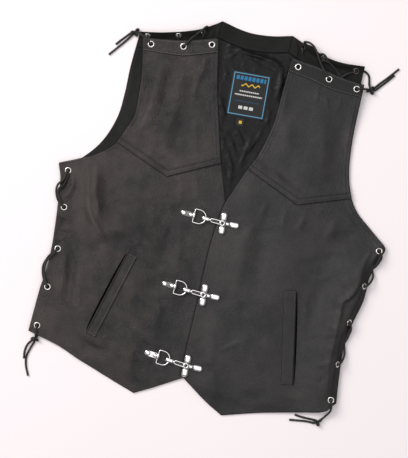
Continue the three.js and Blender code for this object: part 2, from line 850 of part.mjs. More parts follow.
// A closed tube round a ring of points in one plane.
function ringTube(points, radius, sides) {
  const faces = [];
  const vertices = [];
  const count = points.length;
  points.forEach((p, k) => {
    const along = points[(k + 1) % count].clone().sub(points[(k + count - 1) % count]).normalize();
    const out = new THREE.Vector3(along.y, -along.x, 0).normalize();
    const lift = new THREE.Vector3().crossVectors(along, out).normalize();
    for (let s = 0; s < sides; s++) {
      const a = (2 * Math.PI * s) / sides;
      const v = p.clone();
      v.addScaledVector(out, radius * Math.cos(a));
      v.addScaledVector(lift, radius * Math.sin(a));
      vertices.push(v.x, v.y, v.z);
      const [here, next] = [k * sides, ((k + 1) % count) * sides];
      const t = (s + 1) % sides;
      faces.push(here + s, here + t, next + t, here + s, next + t, next + s);
    }
  });
  const made = new THREE.BufferGeometry();
  made.setAttribute("position", new THREE.Float32BufferAttribute(vertices, 3));
  made.setIndex(faces);
  return made;
}

// D-ring: a straight bar with a round bow, tipped up a little towards the hook.
function ringGeometry() {
  const { ringBar, ringHalf, ringEnd, ringWire } = CLASP;
  const points = even(4).map((t) => at(ringBar, (ringHalf - RING.corner) * (1 - 2 * t), 0));
  const bow = ringEnd - ringWire - ringHalf + RING.flat;
  for (const t of even(10)) {
    const a = -Math.PI / 2 + Math.PI * t;
    points.push(at(bow + (ringHalf - RING.flat) * Math.cos(a), ringHalf * Math.sin(a), 0));
  }
  const tip = RING.tip / (ringEnd - ringBar);
  for (const p of points) p.z = CLASP.sleeve + (p.x - ringBar) * tip;
  return ringTube(points, ringWire, 8);
}

// Snap hook and cross plate in one casting.
function hookGeometry() {
  const nose = new THREE.Shape();
  const { half, hollow, body, slot: gap } = HOOK;
  const [x0, x1] = [CLASP.noseStart, CLASP.noseEnd];
  nose.absarc(x0 + half, 0, half, Math.PI / 2, 1.5 * Math.PI);
  nose.absarc(x1 - half, 0, half, -Math.PI / 2, Math.PI / 2);
  const eye = new THREE.Path();
  eye.absarc(x0 + half, 0, hollow, 1.5 * Math.PI, Math.PI / 2, true);
  eye.absarc(x1 - half, 0, hollow, Math.PI / 2, -Math.PI / 2, true);
  nose.holes.push(eye);
  const hook = new THREE.ExtrudeGeometry(nose, { depth: half, bevelEnabled: false, curveSegments: 6 });
  hook.rotateX(Math.PI / 2);
  hook.translate(0, -half / 4, CLASP.sleeve + HOOK.lift);
  const neck = new THREE.Shape();
  neck.moveTo(x1 - 2.5, -body);
  neck.lineTo(CLASP.crossCentre, -body);
  neck.lineTo(CLASP.crossCentre, body);
  neck.lineTo(x1 - 2.5, body);
  const slot = new THREE.Path();
  slot.moveTo(x1 + 1, gap);
  slot.lineTo(CLASP.neckEnd, gap);
  slot.lineTo(CLASP.neckEnd, -gap);
  slot.lineTo(x1 + 1, -gap);
  neck.holes.push(slot);
  const upright = new THREE.Shape();
  upright.absarc(0, CLASP.reach, CLASP.lobe, 0, Math.PI);
  upright.absarc(0, -CLASP.reach, CLASP.lobe, Math.PI, 2 * Math.PI);
  const bar = plate(upright, HOOK.plate, CROSS_SEAT);
  bar.translate(CLASP.crossCentre, 0, 0);
  const level = new THREE.Shape();
  level.moveTo(0, -4.6);
  level.absarc(CLASP.rightReach, 0, 5, -Math.PI / 2, Math.PI / 2);
  level.lineTo(0, 4.6);
  const arm = plate(level, HOOK.plate, CROSS_SEAT);
  arm.translate(CLASP.crossCentre, 0, 0);
  const high = CROSS_SEAT + HOOK.plate - 0.1;
  const domes = [
    dome(4.9, 1.9, CLASP.crossCentre, CLASP.reach, high),
    dome(4.9, 1.9, CLASP.crossCentre, -CLASP.reach, high),
    dome(4.4, 1.7, CLASP.crossCentre + CLASP.rightReach, 0, high),
    dome(5.6, 2.6, CLASP.crossCentre, 0, high),
  ];
  return join([hook, plate(neck, HOOK.thick, CROSS_SEAT), bar, arm, ...domes]);
}

function addClasps() {
  for (const c of CLASPS) {
    const group = new THREE.Group();
    group.position.set(c.x, c.y, TAB_SEAT);
    group.rotation.z = THREE.MathUtils.degToRad(c.turn);
    piece(`clasp_${c.name}_tab`, tabGeometry(), CHROME, group);
    piece(`clasp_${c.name}_ring`, ringGeometry(), CHROME, group);
    piece(`clasp_${c.name}_hook`, hookGeometry(), CHROME, group);
    vest.add(group);
  }
}

// Pockets: a slanted welt, with the mouth cut along its outer side
const WELTS = [
  { name: "left", top: [-122, -91], bottom: [-157.5, -231.5], wide: 17.5, mouth: -1 },
  { name: "right", top: [137, -88.5], bottom: [167.5, -236], wide: 20, mouth: 1 },
];
const MOUTH = { wide: 2.4, margin: 5, gap: 0.4, low: -5, deep: 40 };

// A welt's strip on its front, and the cutter of its mouth beside it.
function welt(spec, sheet) {
  const from = new THREE.Vector2(...spec.bottom);
  const along = new THREE.Vector2(...spec.top).sub(from);
  const length = along.length();
  along.normalize();
  const out = new THREE.Vector2(along.y, -along.x).multiplyScalar(spec.mouth);
  const place = (s, t) => from.clone().addScaledVector(along, s).addScaledVector(out, t);
  const rows = even(9).map((v) => {
    const side = spec.mouth > 0 ? [-spec.wide / 2, 0, spec.wide / 2] : [spec.wide / 2, 0, -spec.wide / 2];
    return side.map((t) => {
      const p = place(v * length, t);
      const seat = sheet.find(p.x, p.y);
      return seat.point.clone().addScaledVector(seat.normal, AIR + 0.1);
    });
  });
  const inner = spec.wide / 2 + MOUTH.gap;
  const corners = [
    place(MOUTH.margin, inner),
    place(MOUTH.margin, inner + MOUTH.wide),
    place(length - MOUTH.margin, inner + MOUTH.wide),
    place(length - MOUTH.margin, inner),
  ];
  const mouth = new THREE.ExtrudeGeometry(new THREE.Shape(corners), { depth: MOUTH.deep, bevelEnabled: false });
  mouth.translate(0, 0, MOUTH.low);
  return { sheet: new Sheet(rows, BAND_WALL), mouth };
}

// Label on the lining below the neck, and the size tab under it
const LABEL_CORNERS = { left: -31, right: 29, low: 167, high: 235.5, lean: 0.06 };
const TAB_CENTRE = [-3.7, 152.5];
const TAB_HALF = 6.5;

function patchOn(sheet, low, high, left, right, lean, steps) {
  const middle = (low + high) / 2;
  const rows = even(steps).map((v) =>
    even(steps).map((u) => {
      const y = low + (high - low) * v;
      const x = left + (right - left) * u;
      const place = [x - lean * (y - middle), y + lean * (x - (left + right) / 2)];
      const seat = sheet.find(place[0], place[1]);
      return seat.point.clone().addScaledVector(seat.normal, AIR);
    }),
  );
  return new Sheet(rows, LABEL_WALL);
}

// The whole vest

const back = backPanel();
const { shoulder, neck, last } = BACK_COLUMNS;
const topRow = [BACK_ROWS - 1, BACK_ROWS];
const lining = back.cover([1, BACK_ROWS - 1], [1, last - 1], LINING_WALL, ["high"]);
const facing = back.cover(topRow, [shoulder, neck], BAND_WALL, ["left", "right"]);
const leftBackBand = back.cover(topRow, [0, shoulder], BAND_WALL);
const rightBackBand = back.cover(topRow, [neck, last], BAND_WALL);

const left = frontPanels(FRONTS.left);
const right = frontPanels(FRONTS.right);
const yokeRows = left.yoke.lower.length - 1;
const yokeColumns = left.yoke.lower[0].length - 1;
const leftBand = left.yoke.cover([yokeRows - 1, yokeRows], [0, yokeColumns], BAND_WALL);
const rightBand = right.yoke.cover([yokeRows - 1, yokeRows], [0, yokeColumns], BAND_WALL);

const frontStack = FRONT_WALL + AIR + BAND_WALL;
const backStack = BACK_WALL + AIR + BAND_WALL;
const eyelets = (row, sheet, places, stack) => places.map((p, i) => eyelet(`eyelet_${row}_${i + 1}`, sheet, p, stack));
const sideHoles = {
  left: eyelets("side_left", left.body, SIDE_EYELETS.left, FRONT_WALL),
  right: eyelets("side_right", right.body, SIDE_EYELETS.right, FRONT_WALL),
};
const shoulderHoles = {
  left: eyelets("shoulder_left", leftBand, SHOULDER_EYELETS.left, frontStack),
  right: eyelets("shoulder_right", rightBand, SHOULDER_EYELETS.right, frontStack),
};
const backHoles = {
  left: eyelets("back_left", leftBackBand, BACK_EYELETS.left, backStack),
  right: eyelets("back_right", rightBackBand, BACK_EYELETS.right, backStack),
};
const cutters = (holes) => holes.map((h) => h.cutter);

const welts = WELTS.map((spec) => welt(spec, spec.mouth < 0 ? left.body : right.body));

piece("back", cut(back.geometry(), cutters([...backHoles.left, ...backHoles.right])), LEATHER);
piece("back_lining", lining.geometry(), LINING);
piece("neck_facing", facing.geometry(), LEATHER);
piece("back_band_left", cut(leftBackBand.geometry(), cutters(backHoles.left)), LEATHER);
piece("back_band_right", cut(rightBackBand.geometry(), cutters(backHoles.right)), LEATHER);
piece("front_left", cut(left.body.geometry(), [...cutters(sideHoles.left), welts[0].mouth]), LEATHER);
piece("front_right", cut(right.body.geometry(), [...cutters(sideHoles.right), welts[1].mouth]), LEATHER);
piece("yoke_left", cut(left.yoke.geometry(), cutters(shoulderHoles.left)), LEATHER);
piece("yoke_right", cut(right.yoke.geometry(), cutters(shoulderHoles.right)), LEATHER);
piece("front_band_left", cut(leftBand.geometry(), cutters(shoulderHoles.left)), LEATHER);
piece("front_band_right", cut(rightBand.geometry(), cutters(shoulderHoles.right)), LEATHER);
piece("welt_left", welts[0].sheet.geometry(), LEATHER);
piece("welt_right", welts[1].sheet.geometry(), LEATHER);
const { left: labelLeft, right: labelRight, low: labelLow, high: labelHigh, lean: labelLean } = LABEL_CORNERS;
const label = patchOn(lining, labelLow, labelHigh, labelLeft, labelRight, labelLean, 3);
piece("label", label.geometry(), LABEL);
const [tabX, tabY] = TAB_CENTRE;
const tab = patchOn(lining, tabY - TAB_HALF, tabY + TAB_HALF, tabX - TAB_HALF, tabX + TAB_HALF, labelLean, 1);
piece("size_tab", tab.geometry(), LABEL);
addClasps();

// Lacing, each from its first eyelet to the knot, with the knot's two free ends as laces of their own

const KNOTS = {
  side_left: { point: at(-242.4, -259.5, 3.6), turn: 0.9 },
  side_right: { point: at(229, -283, 3.6), turn: 0.3 },
  shoulder_left: { point: at(-203.5, 256.5, 3.6), turn: 0.6 },
  shoulder_right: { point: at(189.5, 252.5, 3.6), turn: 0.8 },
};

function lacing(name, points) {
  const knot = KNOTS[name];
  const thong = laceTube([...points, knot.point]);
  piece(`lacing_${name}`, join([thong, knotGeometry(knot.point, knot.turn)]), THONG);
}

const [l1, l2, l3, l4, l5] = sideHoles.left;
lacing("side_left", [
  at(-238, 22, INSIDE + 0.2),
  at(-246, 20, INSIDE + 0.2),
  ...through(l1, true),
  over(left.body, -258.5, 9.5),
  at(-265.2, 0.5, 9.2),
  at(-266.2, -12, 6.6),
  at(-262.6, -27, 8.0),
  over(left.body, -253.5, -37),
  ...through(l2),
  at(-244.5, -52, INSIDE),
  at(-241.5, -76, INSIDE),
  at(-240.5, -101, INSIDE),
  ...through(l3, true),
  over(left.body, -245.5, -117.5),
  at(-253.6, -126, 9.2),
  at(-254.6, -141, 6.6),
  at(-253.8, -156, 8.6),
  over(left.body, -247.5, -166.5),
  ...through(l4),
  at(-242.5, -182, INSIDE),
  at(-243, -205, INSIDE),
  at(-243.5, -228, INSIDE),
  ...through(l5, true),
  over(left.body, -243.6, -245),
  at(-243.3, -254.6, 9.0),
]);

const [r1, r2, r3, r4, r5] = sideHoles.right;
lacing("side_right", [
  at(246, 14, INSIDE + 0.2),
  at(253, 11, INSIDE + 0.2),
  ...through(r1, true),
  at(261.8, 3.0, 14.2),
  at(264.6, -2.5, 13.4),
  at(267.4, -10, 9.4),
  at(262.6, -24, 6.6),
  at(261.4, -38, 7.6),
  at(259.0, -47.5, 11.4),
  ...through(r2),
  at(243, -64, 6.0),
  at(237, -85, 5.2),
  at(232, -106, 6.0),
  ...through(r3, true),
  at(247.6, -121, 13.4),
  at(250.6, -130, 8.4),
  at(247.8, -148, 6.4),
  at(248.6, -165, 7.6),
  at(246.4, -178, 11.6),
  ...through(r4),
  at(230, -195, 6.0),
  at(229, -214, 5.2),
  at(231, -233, 6.0),
  ...through(r5, true),
  over(right.body, 241.8, -252.5),
  at(243.5, -261, 11.4),
  at(238.5, -271, 6.0),
]);

const [fl1, fl2] = shoulderHoles.left;
lacing("shoulder_left", [
  at(-92, 289, 2.0),
  at(-83, 300, 2.2),
  at(-77.5, 307.5, 4.6),
  at(-79.5, 304, 9.8),
  over(leftBackBand, -87, 290.5),
  over(leftBackBand, -99, 277.5),
  at(-106.5, 270.5, 12.4),
  over(leftBand, -113, 259.5),
  ...through(fl2),
  at(-134, 246.5, 7.2),
  at(-157, 243.5, 7.2),
  ...through(fl1, true),
  over(leftBand, -177.5, 245.5),
  at(-190, 254, 13.2),
  at(-198.5, 257.2, 7.6),
]);

const [fr1, fr2] = shoulderHoles.right;
const [br1, br2] = backHoles.right;
lacing("shoulder_right", [
  at(183.5, 259.5, 3.4),
  at(179.5, 270, 1.8),
  at(172.5, 279.5, 1.8),
  at(163.5, 281.5, 1.9),
  ...through(br1, true),
  over(rightBackBand, 150, 270.5),
  at(139, 263.5, 7.0),
  at(134.5, 262.5, 7.0),
  at(124, 269.5, 7.6),
  over(rightBackBand, 109, 277.5),
  ...through(br2),
  at(94, 285.5, 1.8),
  at(83, 297.5, 2.2),
  at(76, 305, 4.6),
  at(79.5, 300, 9.6),
  over(rightBackBand, 87.5, 289),
  over(rightBackBand, 96, 277),
  at(101, 271.5, 12.6),
  over(rightBand, 109, 262.5),
  ...through(fr2),
  at(131, 250.5, 7.2),
  at(150, 247.5, 7.2),
  ...through(fr1, true),
  over(rightBand, 171, 250),
  at(181.5, 251.8, 11.6),
]);

// Where each knot's free ends lie
const TAILS = {
  side_left_1: [
    at(-246.9, -262.6, 2.4),
    at(-252, -270, FLOOR),
    at(-254.4, -281, FLOOR),
    at(-252.8, -294, FLOOR),
  ],
  side_left_2: [
    at(-243.0, -265.3, 2.6),
    at(-246.5, -275.5, FLOOR),
    at(-249.6, -290, FLOOR),
    at(-247.5, -303, FLOOR),
    at(-240, -319.5, FLOOR),
  ],
  side_right_1: [
    at(223.6, -281.4, 2.6),
    at(213, -281.6, FLOOR),
    at(202, -281.6, FLOOR),
    at(191, -280.6, FLOOR),
  ],
  side_right_2: [
    at(223.6, -286.6, 2.4),
    at(212, -286.6, FLOOR),
    at(199, -288.2, FLOOR),
    at(184, -290.5, FLOOR),
  ],
  shoulder_left_1: [
    at(-208.2, 252.8, 2.6),
    at(-214, 246, FLOOR),
    at(-220.5, 238.5, FLOOR),
    at(-227, 230, FLOOR),
  ],
  shoulder_left_2: [
    at(-204.9, 250.6, 2.6),
    at(-212, 240, FLOOR),
    at(-222, 227, FLOOR),
    at(-234, 211.5, FLOOR),
  ],
  shoulder_right_1: [
    at(192.4, 258.2, 2.6),
    at(200, 268, FLOOR),
    at(210, 279.5, FLOOR),
    at(224, 297.5, FLOOR),
  ],
  shoulder_right_2: [
    at(195.0, 255.2, 2.6),
    at(202.5, 264.5, FLOOR),
    at(210, 273.5, FLOOR),
    at(219.5, 286, FLOOR),
  ],
};
for (const [name, points] of Object.entries(TAILS)) {
  const path = new THREE.CatmullRomCurve3(points, false, "centripetal");
  piece(`lace_end_${name}`, laceTube(even(8).map((t) => path.getPointAt(t))), THONG);
}

export default vest;
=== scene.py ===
import math

import bmesh
import bpy
import numpy as np
from mathutils import Matrix, Vector
from mathutils.bvhtree import BVHTree


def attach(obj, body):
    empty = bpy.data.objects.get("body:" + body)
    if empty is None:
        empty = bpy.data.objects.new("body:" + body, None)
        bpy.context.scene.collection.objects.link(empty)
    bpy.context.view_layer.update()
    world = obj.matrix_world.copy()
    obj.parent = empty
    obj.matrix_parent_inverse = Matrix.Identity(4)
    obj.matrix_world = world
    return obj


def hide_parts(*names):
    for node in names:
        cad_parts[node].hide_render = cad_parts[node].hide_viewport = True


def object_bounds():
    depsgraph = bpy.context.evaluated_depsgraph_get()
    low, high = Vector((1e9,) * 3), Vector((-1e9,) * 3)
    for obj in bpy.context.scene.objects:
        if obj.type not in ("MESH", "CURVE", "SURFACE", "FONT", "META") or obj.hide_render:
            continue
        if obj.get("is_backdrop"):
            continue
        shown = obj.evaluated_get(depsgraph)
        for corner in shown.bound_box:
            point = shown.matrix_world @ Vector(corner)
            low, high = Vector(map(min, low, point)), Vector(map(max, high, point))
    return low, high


# A laced leather vest, laid flat with its fronts up and its clasps fastened.
# Sizes and places are in millimetres, as in the frame, and become metres where a mesh is made.
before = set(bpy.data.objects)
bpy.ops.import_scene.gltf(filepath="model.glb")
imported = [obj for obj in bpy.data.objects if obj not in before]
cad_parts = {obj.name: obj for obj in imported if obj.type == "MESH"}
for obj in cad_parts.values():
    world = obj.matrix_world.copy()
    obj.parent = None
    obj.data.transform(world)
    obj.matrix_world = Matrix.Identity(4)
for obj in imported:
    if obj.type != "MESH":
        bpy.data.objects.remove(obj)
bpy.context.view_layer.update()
MM = 0.001


def linked(name, data):
    """A new object in the scene, of its mesh, curve, light or camera data."""
    made = bpy.data.objects.new(name, data)
    bpy.context.scene.collection.objects.link(made)
    return made


# Camera: straight above the vest, which lies turned in the picture

PICTURE_HEIGHT = 458  # pixels
MM_PER_PIXEL = 1.6
SCALE_HEIGHT = 7  # height above the floor at which a pixel shows that width
VEST_TURN = math.radians(13.5)
VIEW_CENTRE = (-20.3, -24.9)
LENS = 100
SENSOR = 36


def add_camera():
    data = bpy.data.cameras.new("camera")
    data.lens = LENS
    data.sensor_width = SENSOR
    camera = linked("camera", data)
    height = MM_PER_PIXEL * PICTURE_HEIGHT * LENS / SENSOR + SCALE_HEIGHT
    camera.location = (VIEW_CENTRE[0] * MM, VIEW_CENTRE[1] * MM, height * MM)
    camera.rotation_euler = (0, 0, VEST_TURN)
    bpy.context.scene.camera = camera


add_camera()

# Thicknesses and gaps

BACK_WALL = 1.2
LINING_WALL = 1.0
FRONT_WALL = 1.8
BAND_WALL = 1.0
AIR = 0.35
FRONT_BASE = 2.95  # underside of a front where it lies on the lining
LACE = 3.0

# Outlines: points of smooth curves, left and right as seen from above

LEFT_HEM_OUTER = [(-255, -248), (-230, -254), (-204, -260.5), (-165, -275), (-116, -291.5), (-69, -306.5)]
LEFT_HEM_INNER = [(-69, -306.5), (-33, -286), (9, -260)]
LEFT_SIDE = [(-255, -248), (-253, -180), (-249.5, -140), (-251, -95), (-256, -45), (-262, 0), (-270.5, 24)]
LEFT_ARMHOLE = [
    (-270.5, 24), (-241, 38), (-214, 52.5), (-190, 75), (-180, 99),
    (-171, 124), (-171, 149), (-175, 195), (-186, 249),
]
LEFT_CENTRE = [
    (9, -260), (8, -150), (8, -40), (6, 12), (-2, 39),
    (-18.5, 84.5), (-33, 132.5), (-52, 200), (-69, 276),
]
LEFT_SHOULDER = [(-186, 249), (-122, 260), (-69, 276)]
RIGHT_HEM_INNER = [(-2.7, -260), (44, -291), (76, -308.5)]
RIGHT_HEM_OUTER = [(76, -308.5), (136, -290), (202, -273), (235, -263), (250, -247)]
RIGHT_SIDE = [(250, -247), (245, -208), (241, -150), (246, -115), (254, -78), (256, -30), (271, 12)]
RIGHT_ARMHOLE = [
    (271, 12), (234, 40), (211.5, 58), (195.5, 82), (183.5, 120), (178, 160), (175.5, 208), (174.5, 258),
]
RIGHT_CENTRE = [
    (-2.7, -260), (-3, -148), (-4, -40), (3, 23), (11.5, 47),
    (26, 85), (37, 110), (48.5, 162), (51, 215), (53, 273),
]
RIGHT_SHOULDER = [(53, 273), (94, 269), (135, 261.5), (174.5, 258)]
BACK_HEM = [(-251, -243), (0, -253), (246, -240)]
BACK_LEFT_SIDE = [(-251, -243), (-248, -140), (-254, -45), (-265, 19)]
BACK_LEFT_ARMHOLE = [
    (-265, 19), (-241, 37), (-213, 72), (-197, 117), (-194.5, 156), (-195.5, 201), (-193, 257),
]
BACK_LEFT_SHOULDER = [(-193, 257), (-154, 265), (-99, 284), (-69, 305)]
BACK_NECK = [(-69, 305), (-25, 298), (8, 300), (46, 308.5)]
BACK_RIGHT_SHOULDER = [(46, 308.5), (66, 300.5), (100, 288), (130, 284), (169, 286.5)]
BACK_RIGHT_SIDE = [(246, -240), (238, -150), (243, -115), (252, -60), (266, 10)]
BACK_RIGHT_ARMHOLE = [(266, 10), (232, 36), (208, 56), (191, 82), (179, 122), (171.5, 200), (169, 286.5)]

# Lower edge of each yoke, a shallow V
LEFT_YOKE = {"arm": (-188, 78), "tip": (-97.5, 43.5), "neck": (-18.5, 84.5)}
RIGHT_YOKE = {"neck": (26, 85), "tip": (116, 48), "arm": (197, 78)}
YOKE_LAP = 9

# Large swells, as in the solids: a line, its height and its width
SWELLS = [
    ((-222, 25), (-184, -75), 4.5, 20),
    ((-120, 10), (-90, -120), 3.0, 38),
    ((-190, -190), (-95, -250), 2.6, 32),
    ((110, 10), (120, -100), 3.6, 36),
    ((80, -200), (150, -255), 2.4, 30),
    ((88, -115), (98, -185), 2.8, 36),
    ((70, -138), (106, -172), -1.8, 12),
    ((-135, 190), (-110, 90), 3.2, 26),
    ((110, 195), (125, 90), 3.4, 28),
]

# Creases: a curved line, its height (below zero a trough), and its width on its left and right side
LEFT_CREASES = [
    ([(-210, 30), (-203, -5), (-190, -43)], 2.5, 6, 4),
    ([(-224, 30), (-214, -8), (-202, -44)], 1.2, 6, 5),
    ([(-213, -30), (-194, -55), (-174, -77)], 1.8, 6, 5),
    ([(-197, 28), (-184, -4), (-168, -37)], -1.2, 15, 14),
    ([(-246, 10), (-241, -4), (-244, -18), (-249, -27)], 2.4, 5, 3.2),
    ([(-253, 2), (-254, -10), (-256, -22)], -1.8, 4, 4),
    ([(-250, -55), (-240, -60), (-226, -63)], 1.1, 3, 2.5),
    ([(-250, -74), (-239, -77), (-226, -76)], 0.9, 3, 2.5),
    ([(-247, -97), (-238, -93), (-226, -85)], 1.0, 3.2, 2.5),
    ([(-248, -62), (-238, -70)], -0.8, 3, 3),
    ([(-230, -104), (-223, -150), (-221, -192)], 1.2, 7, 5),
    ([(-208, -95), (-196, -150), (-189, -200)], 1.5, 11, 8),
    ([(-216, -110), (-209, -160), (-205, -205)], -1.0, 6, 6),
    ([(-160, -250), (-138, -254), (-118, -250)], -1.4, 9, 7),
    ([(-92, -244), (-86, -268), (-80, -290)], 1.2, 10, 8),
    ([(-184, -88), (-158, -80), (-123, -69)], -1.1, 9, 10),
    ([(-176, -66), (-150, -58), (-128, -48)], 1.1, 8, 7),
    ([(-142, 12), (-132, -22), (-128, -54)], 1.3, 9, 7),
    ([(-166, 26), (-157, 0), (-152, -24)], 0.9, 6, 5),
    ([(-104, 12), (-94, -20), (-90, -56)], -1.2, 9, 9),
    ([(-78, 52), (-70, 24), (-66, 8)], 1.0, 5, 4),
    ([(-56, 64), (-49, 40), (-43, 17)], 1.0, 5, 4),
    ([(-58, -26), (-55, -58), (-47, -94)], 1.3, 9, 8),
    ([(-72, -36), (-74, -64), (-70, -96)], -0.9, 8, 8),
    ([(-62, -150), (-64, -185), (-60, -218)], 0.9, 9, 8),
    ([(-96, -140), (-100, -180), (-98, -214)], -1.0, 12, 10),
    ([(-116, -84), (-110, -102), (-104, -124)], 0.8, 5, 4),
    ([(-128, -74), (-112, -70), (-98, -74)], 0.7, 5, 4),
    ([(-172, -226), (-158, -240), (-140, -246)], 0.9, 5, 4),
    ([(-145, 207), (-150, 143), (-161, 78)], 2.3, 10, 7),
    ([(-114, 228), (-111, 174), (-114, 110)], 1.3, 8, 6),
    ([(-133, 226), (-130, 170), (-126, 113)], -1.5, 9, 9),
    ([(-84, 238), (-86, 206), (-87, 174)], 1.4, 4.5, 3.5),
    ([(-80, 244), (-80, 226), (-82, 208)], 0.7, 4, 3.5),
    ([(-168, 97), (-157, 108), (-143, 121)], 0.9, 3.4, 2.6),
    ([(-172, 108), (-162, 121), (-150, 130)], -0.8, 4, 3),
    ([(-126, 104), (-130, 84), (-135, 66)], 0.9, 6, 5),
    ([(-78, 160), (-74, 126), (-68, 96)], 0.9, 9, 8),
    ([(-100, 148), (-96, 118), (-94, 84)], -0.9, 9, 9),
    ([(-156, 190), (-160, 158), (-163, 130)], -0.8, 6, 6),
]
RIGHT_CREASES = [
    ([(58, -128), (82, -148), (106, -172)], 1.9, 2.4, 4),
    ([(53, -206), (67, -194), (80, -187)], 1.3, 2.4, 4),
    ([(182, 40), (179, 24), (173, 6)], 1.6, 7, 6),
    ([(185, 10), (199, 13), (214, 20)], -2.2, 8, 7),
    ([(192, 46), (202, 42), (211, 34)], 1.2, 6, 5),
    ([(178, -6), (196, -8), (214, -2)], 1.2, 8, 7),
    ([(247, 2), (243, -12), (240, -28), (241, -51), (236, -70)], 1.5, 2.2, 3.4),
    ([(240, -60), (236, -71), (230, -79), (222, -85), (222, -98), (223, -116)], 2.2, 2.2, 3.4),
    ([(223, -104), (223, -135), (224, -172)], 1.6, 2.4, 4),
    ([(223, -160), (224, -195), (227, -215), (231, -238)], 1.3, 2.6, 4),
    ([(250, -14), (246, -40), (242, -64), (232, -88), (230, -120)], -1.4, 4.5, 4.5),
    ([(218, -54), (228, -58), (233, -66), (226, -76)], 0.9, 3.6, 4.6),
    ([(214, -62), (222, -68), (224, -76)], -0.9, 4, 4),
    ([(206, -92), (216, -98), (226, -97)], -0.8, 4, 4),
    ([(212, -151), (222, -146), (232, -143)], -0.9, 4, 4.5),
    ([(212, -160), (222, -164), (232, -165)], 0.7, 4, 4),
    ([(206, -195), (216, -191), (226, -184)], 0.9, 4, 3.5),
    ([(216, -224), (221, -214), (226, -200)], -1.0, 5, 4),
    ([(204, -118), (212, -128), (222, -130)], 0.8, 5, 4),
    ([(45, 10), (47, -60), (52, -122)], 1.5, 12, 10),
    ([(72, -4), (78, -50), (80, -96)], -1.2, 14, 12),
    ([(68, 40), (65, 26), (62, 10)], 1.1, 5, 5),
    ([(131, 34), (129, 22), (125, 8)], 1.2, 5, 4),
    ([(99, 36), (100, 22), (101, 6)], 1.0, 6, 5),
    ([(52, -12), (72, -8), (94, -1)], -1.0, 6, 7),
    ([(163, -88), (168, -115), (173, -146)], 1.1, 6, 5),
    ([(97, -268), (114, -270), (134, -264)], -1.3, 9, 8),
    ([(167, -62), (180, -58), (194, -50)], 1.0, 6, 5),
    ([(140, -42), (162, -36), (188, -24)], -1.0, 8, 7),
    ([(190, -92), (194, -115), (196, -140)], 1.0, 7, 6),
    ([(154, -250), (176, -254), (200, -250)], 0.9, 8, 7),
    ([(100, -210), (112, -224), (120, -240)], 0.8, 8, 7),
    ([(30, -190), (36, -220), (34, -250)], 0.9, 10, 9),
    ([(67, 182), (72, 145), (78, 110)], 2.5, 13, 12),
    ([(57, 214), (59, 190), (60, 168)], 1.2, 6, 6),
    ([(98, 204), (104, 160), (112, 118)], -1.4, 14, 13),
    ([(129, 186), (137, 140), (146, 95)], 1.3, 11, 10),
    ([(119, 226), (123, 218), (128, 208)], 0.8, 3, 3),
    ([(104, 236), (106, 224), (104, 212)], 0.7, 3, 3),
    ([(142, 232), (144, 220), (141, 206)], 0.6, 3.4, 3),
    ([(164, 224), (169, 190), (172, 152)], 1.1, 6, 5),
    ([(155, 190), (157, 160), (162, 126)], -0.6, 9, 8),
    ([(60, 98), (74, 84), (92, 76)], 0.8, 5, 4),
]
LINING_CREASES = [
    ([(-34, 266), (-8, 264), (20, 262), (42, 252)], 1.5, 4, 3),
    ([(-46, 250), (-40, 258), (-32, 266)], 0.9, 3, 3),
    ([(-30, 258), (-8, 254), (12, 247)], 0.9, 3, 2.6),
    ([(-24, 136), (-8, 116), (6, 92)], 1.1, 4, 3),
    ([(-10, 145), (2, 130), (12, 112)], 0.9, 3, 3),
    ([(-14, 108), (-4, 88), (4, 66)], 1.1, 4, 3),
    ([(18, 132), (15, 110), (11, 86)], 1.0, 4, 3),
    ([(34, 152), (28, 134), (20, 114)], 0.9, 3.4, 3),
    ([(-44, 186), (-38, 172), (-28, 156)], 0.9, 3, 3),
    ([(43, 250), (45, 226), (44, 200)], 1.1, 3, 3.6),
    ([(-52, 270), (-38, 272), (-22, 268)], 0.8, 3, 3),
    ([(-48, 238), (-44, 222), (-46, 204)], 0.8, 3.4, 3),
    ([(36, 186), (38, 170), (32, 156)], 0.8, 3.4, 3),
    ([(-20, 84), (-10, 66), (-2, 50)], 0.9, 3.4, 3),
    ([(-2, 74), (2, 60), (3, 46)], 0.7, 3, 3),
    ([(-36, 138), (-24, 124), (-20, 106)], 0.8, 3.4, 3),
]

# Places of the eyelets, from the top of each side or the outer end of each shoulder
SIDE_EYELETS = {
    "left": [(-253.5, 15.5), (-246, -43), (-240.5, -110), (-242, -173), (-244, -237)],
    "right": [(260, 6), (249.5, -54), (239.5, -116), (237, -185), (240, -243)],
}
SHOULDER_EYELETS = {
    "left": [(-171, 242), (-120, 250.5), (-76.5, 264)],
    "right": [(164.5, 249), (118, 254), (65.5, 261.5)],
}
BACK_EYELETS = {
    "left": [(-180, 253.5), (-132, 266), (-95, 280.5)],
    "right": [(157, 277.5), (100.5, 283.5), (66, 293)],
}
EYELET_HOLE = 3.6  # radius
EYELET_CAP = 0.8

CLASPS = [
    ("top", (-62.5, -6.8), -1.8),
    ("middle", (-65.5, -124.4), -2.6),
    ("bottom", (-66.0, -238.5), -4.6),
]
CLASP_REACH = 98
CROSS_TURN = 5.5
TAB_SEAT = FRONT_BASE + FRONT_WALL + AIR
CROSS_SEAT = 2.3 + AIR


# Curves and grids


def smooth(t):
    c = np.clip(t, 0, 1)
    return c * c * (3 - 2 * c)


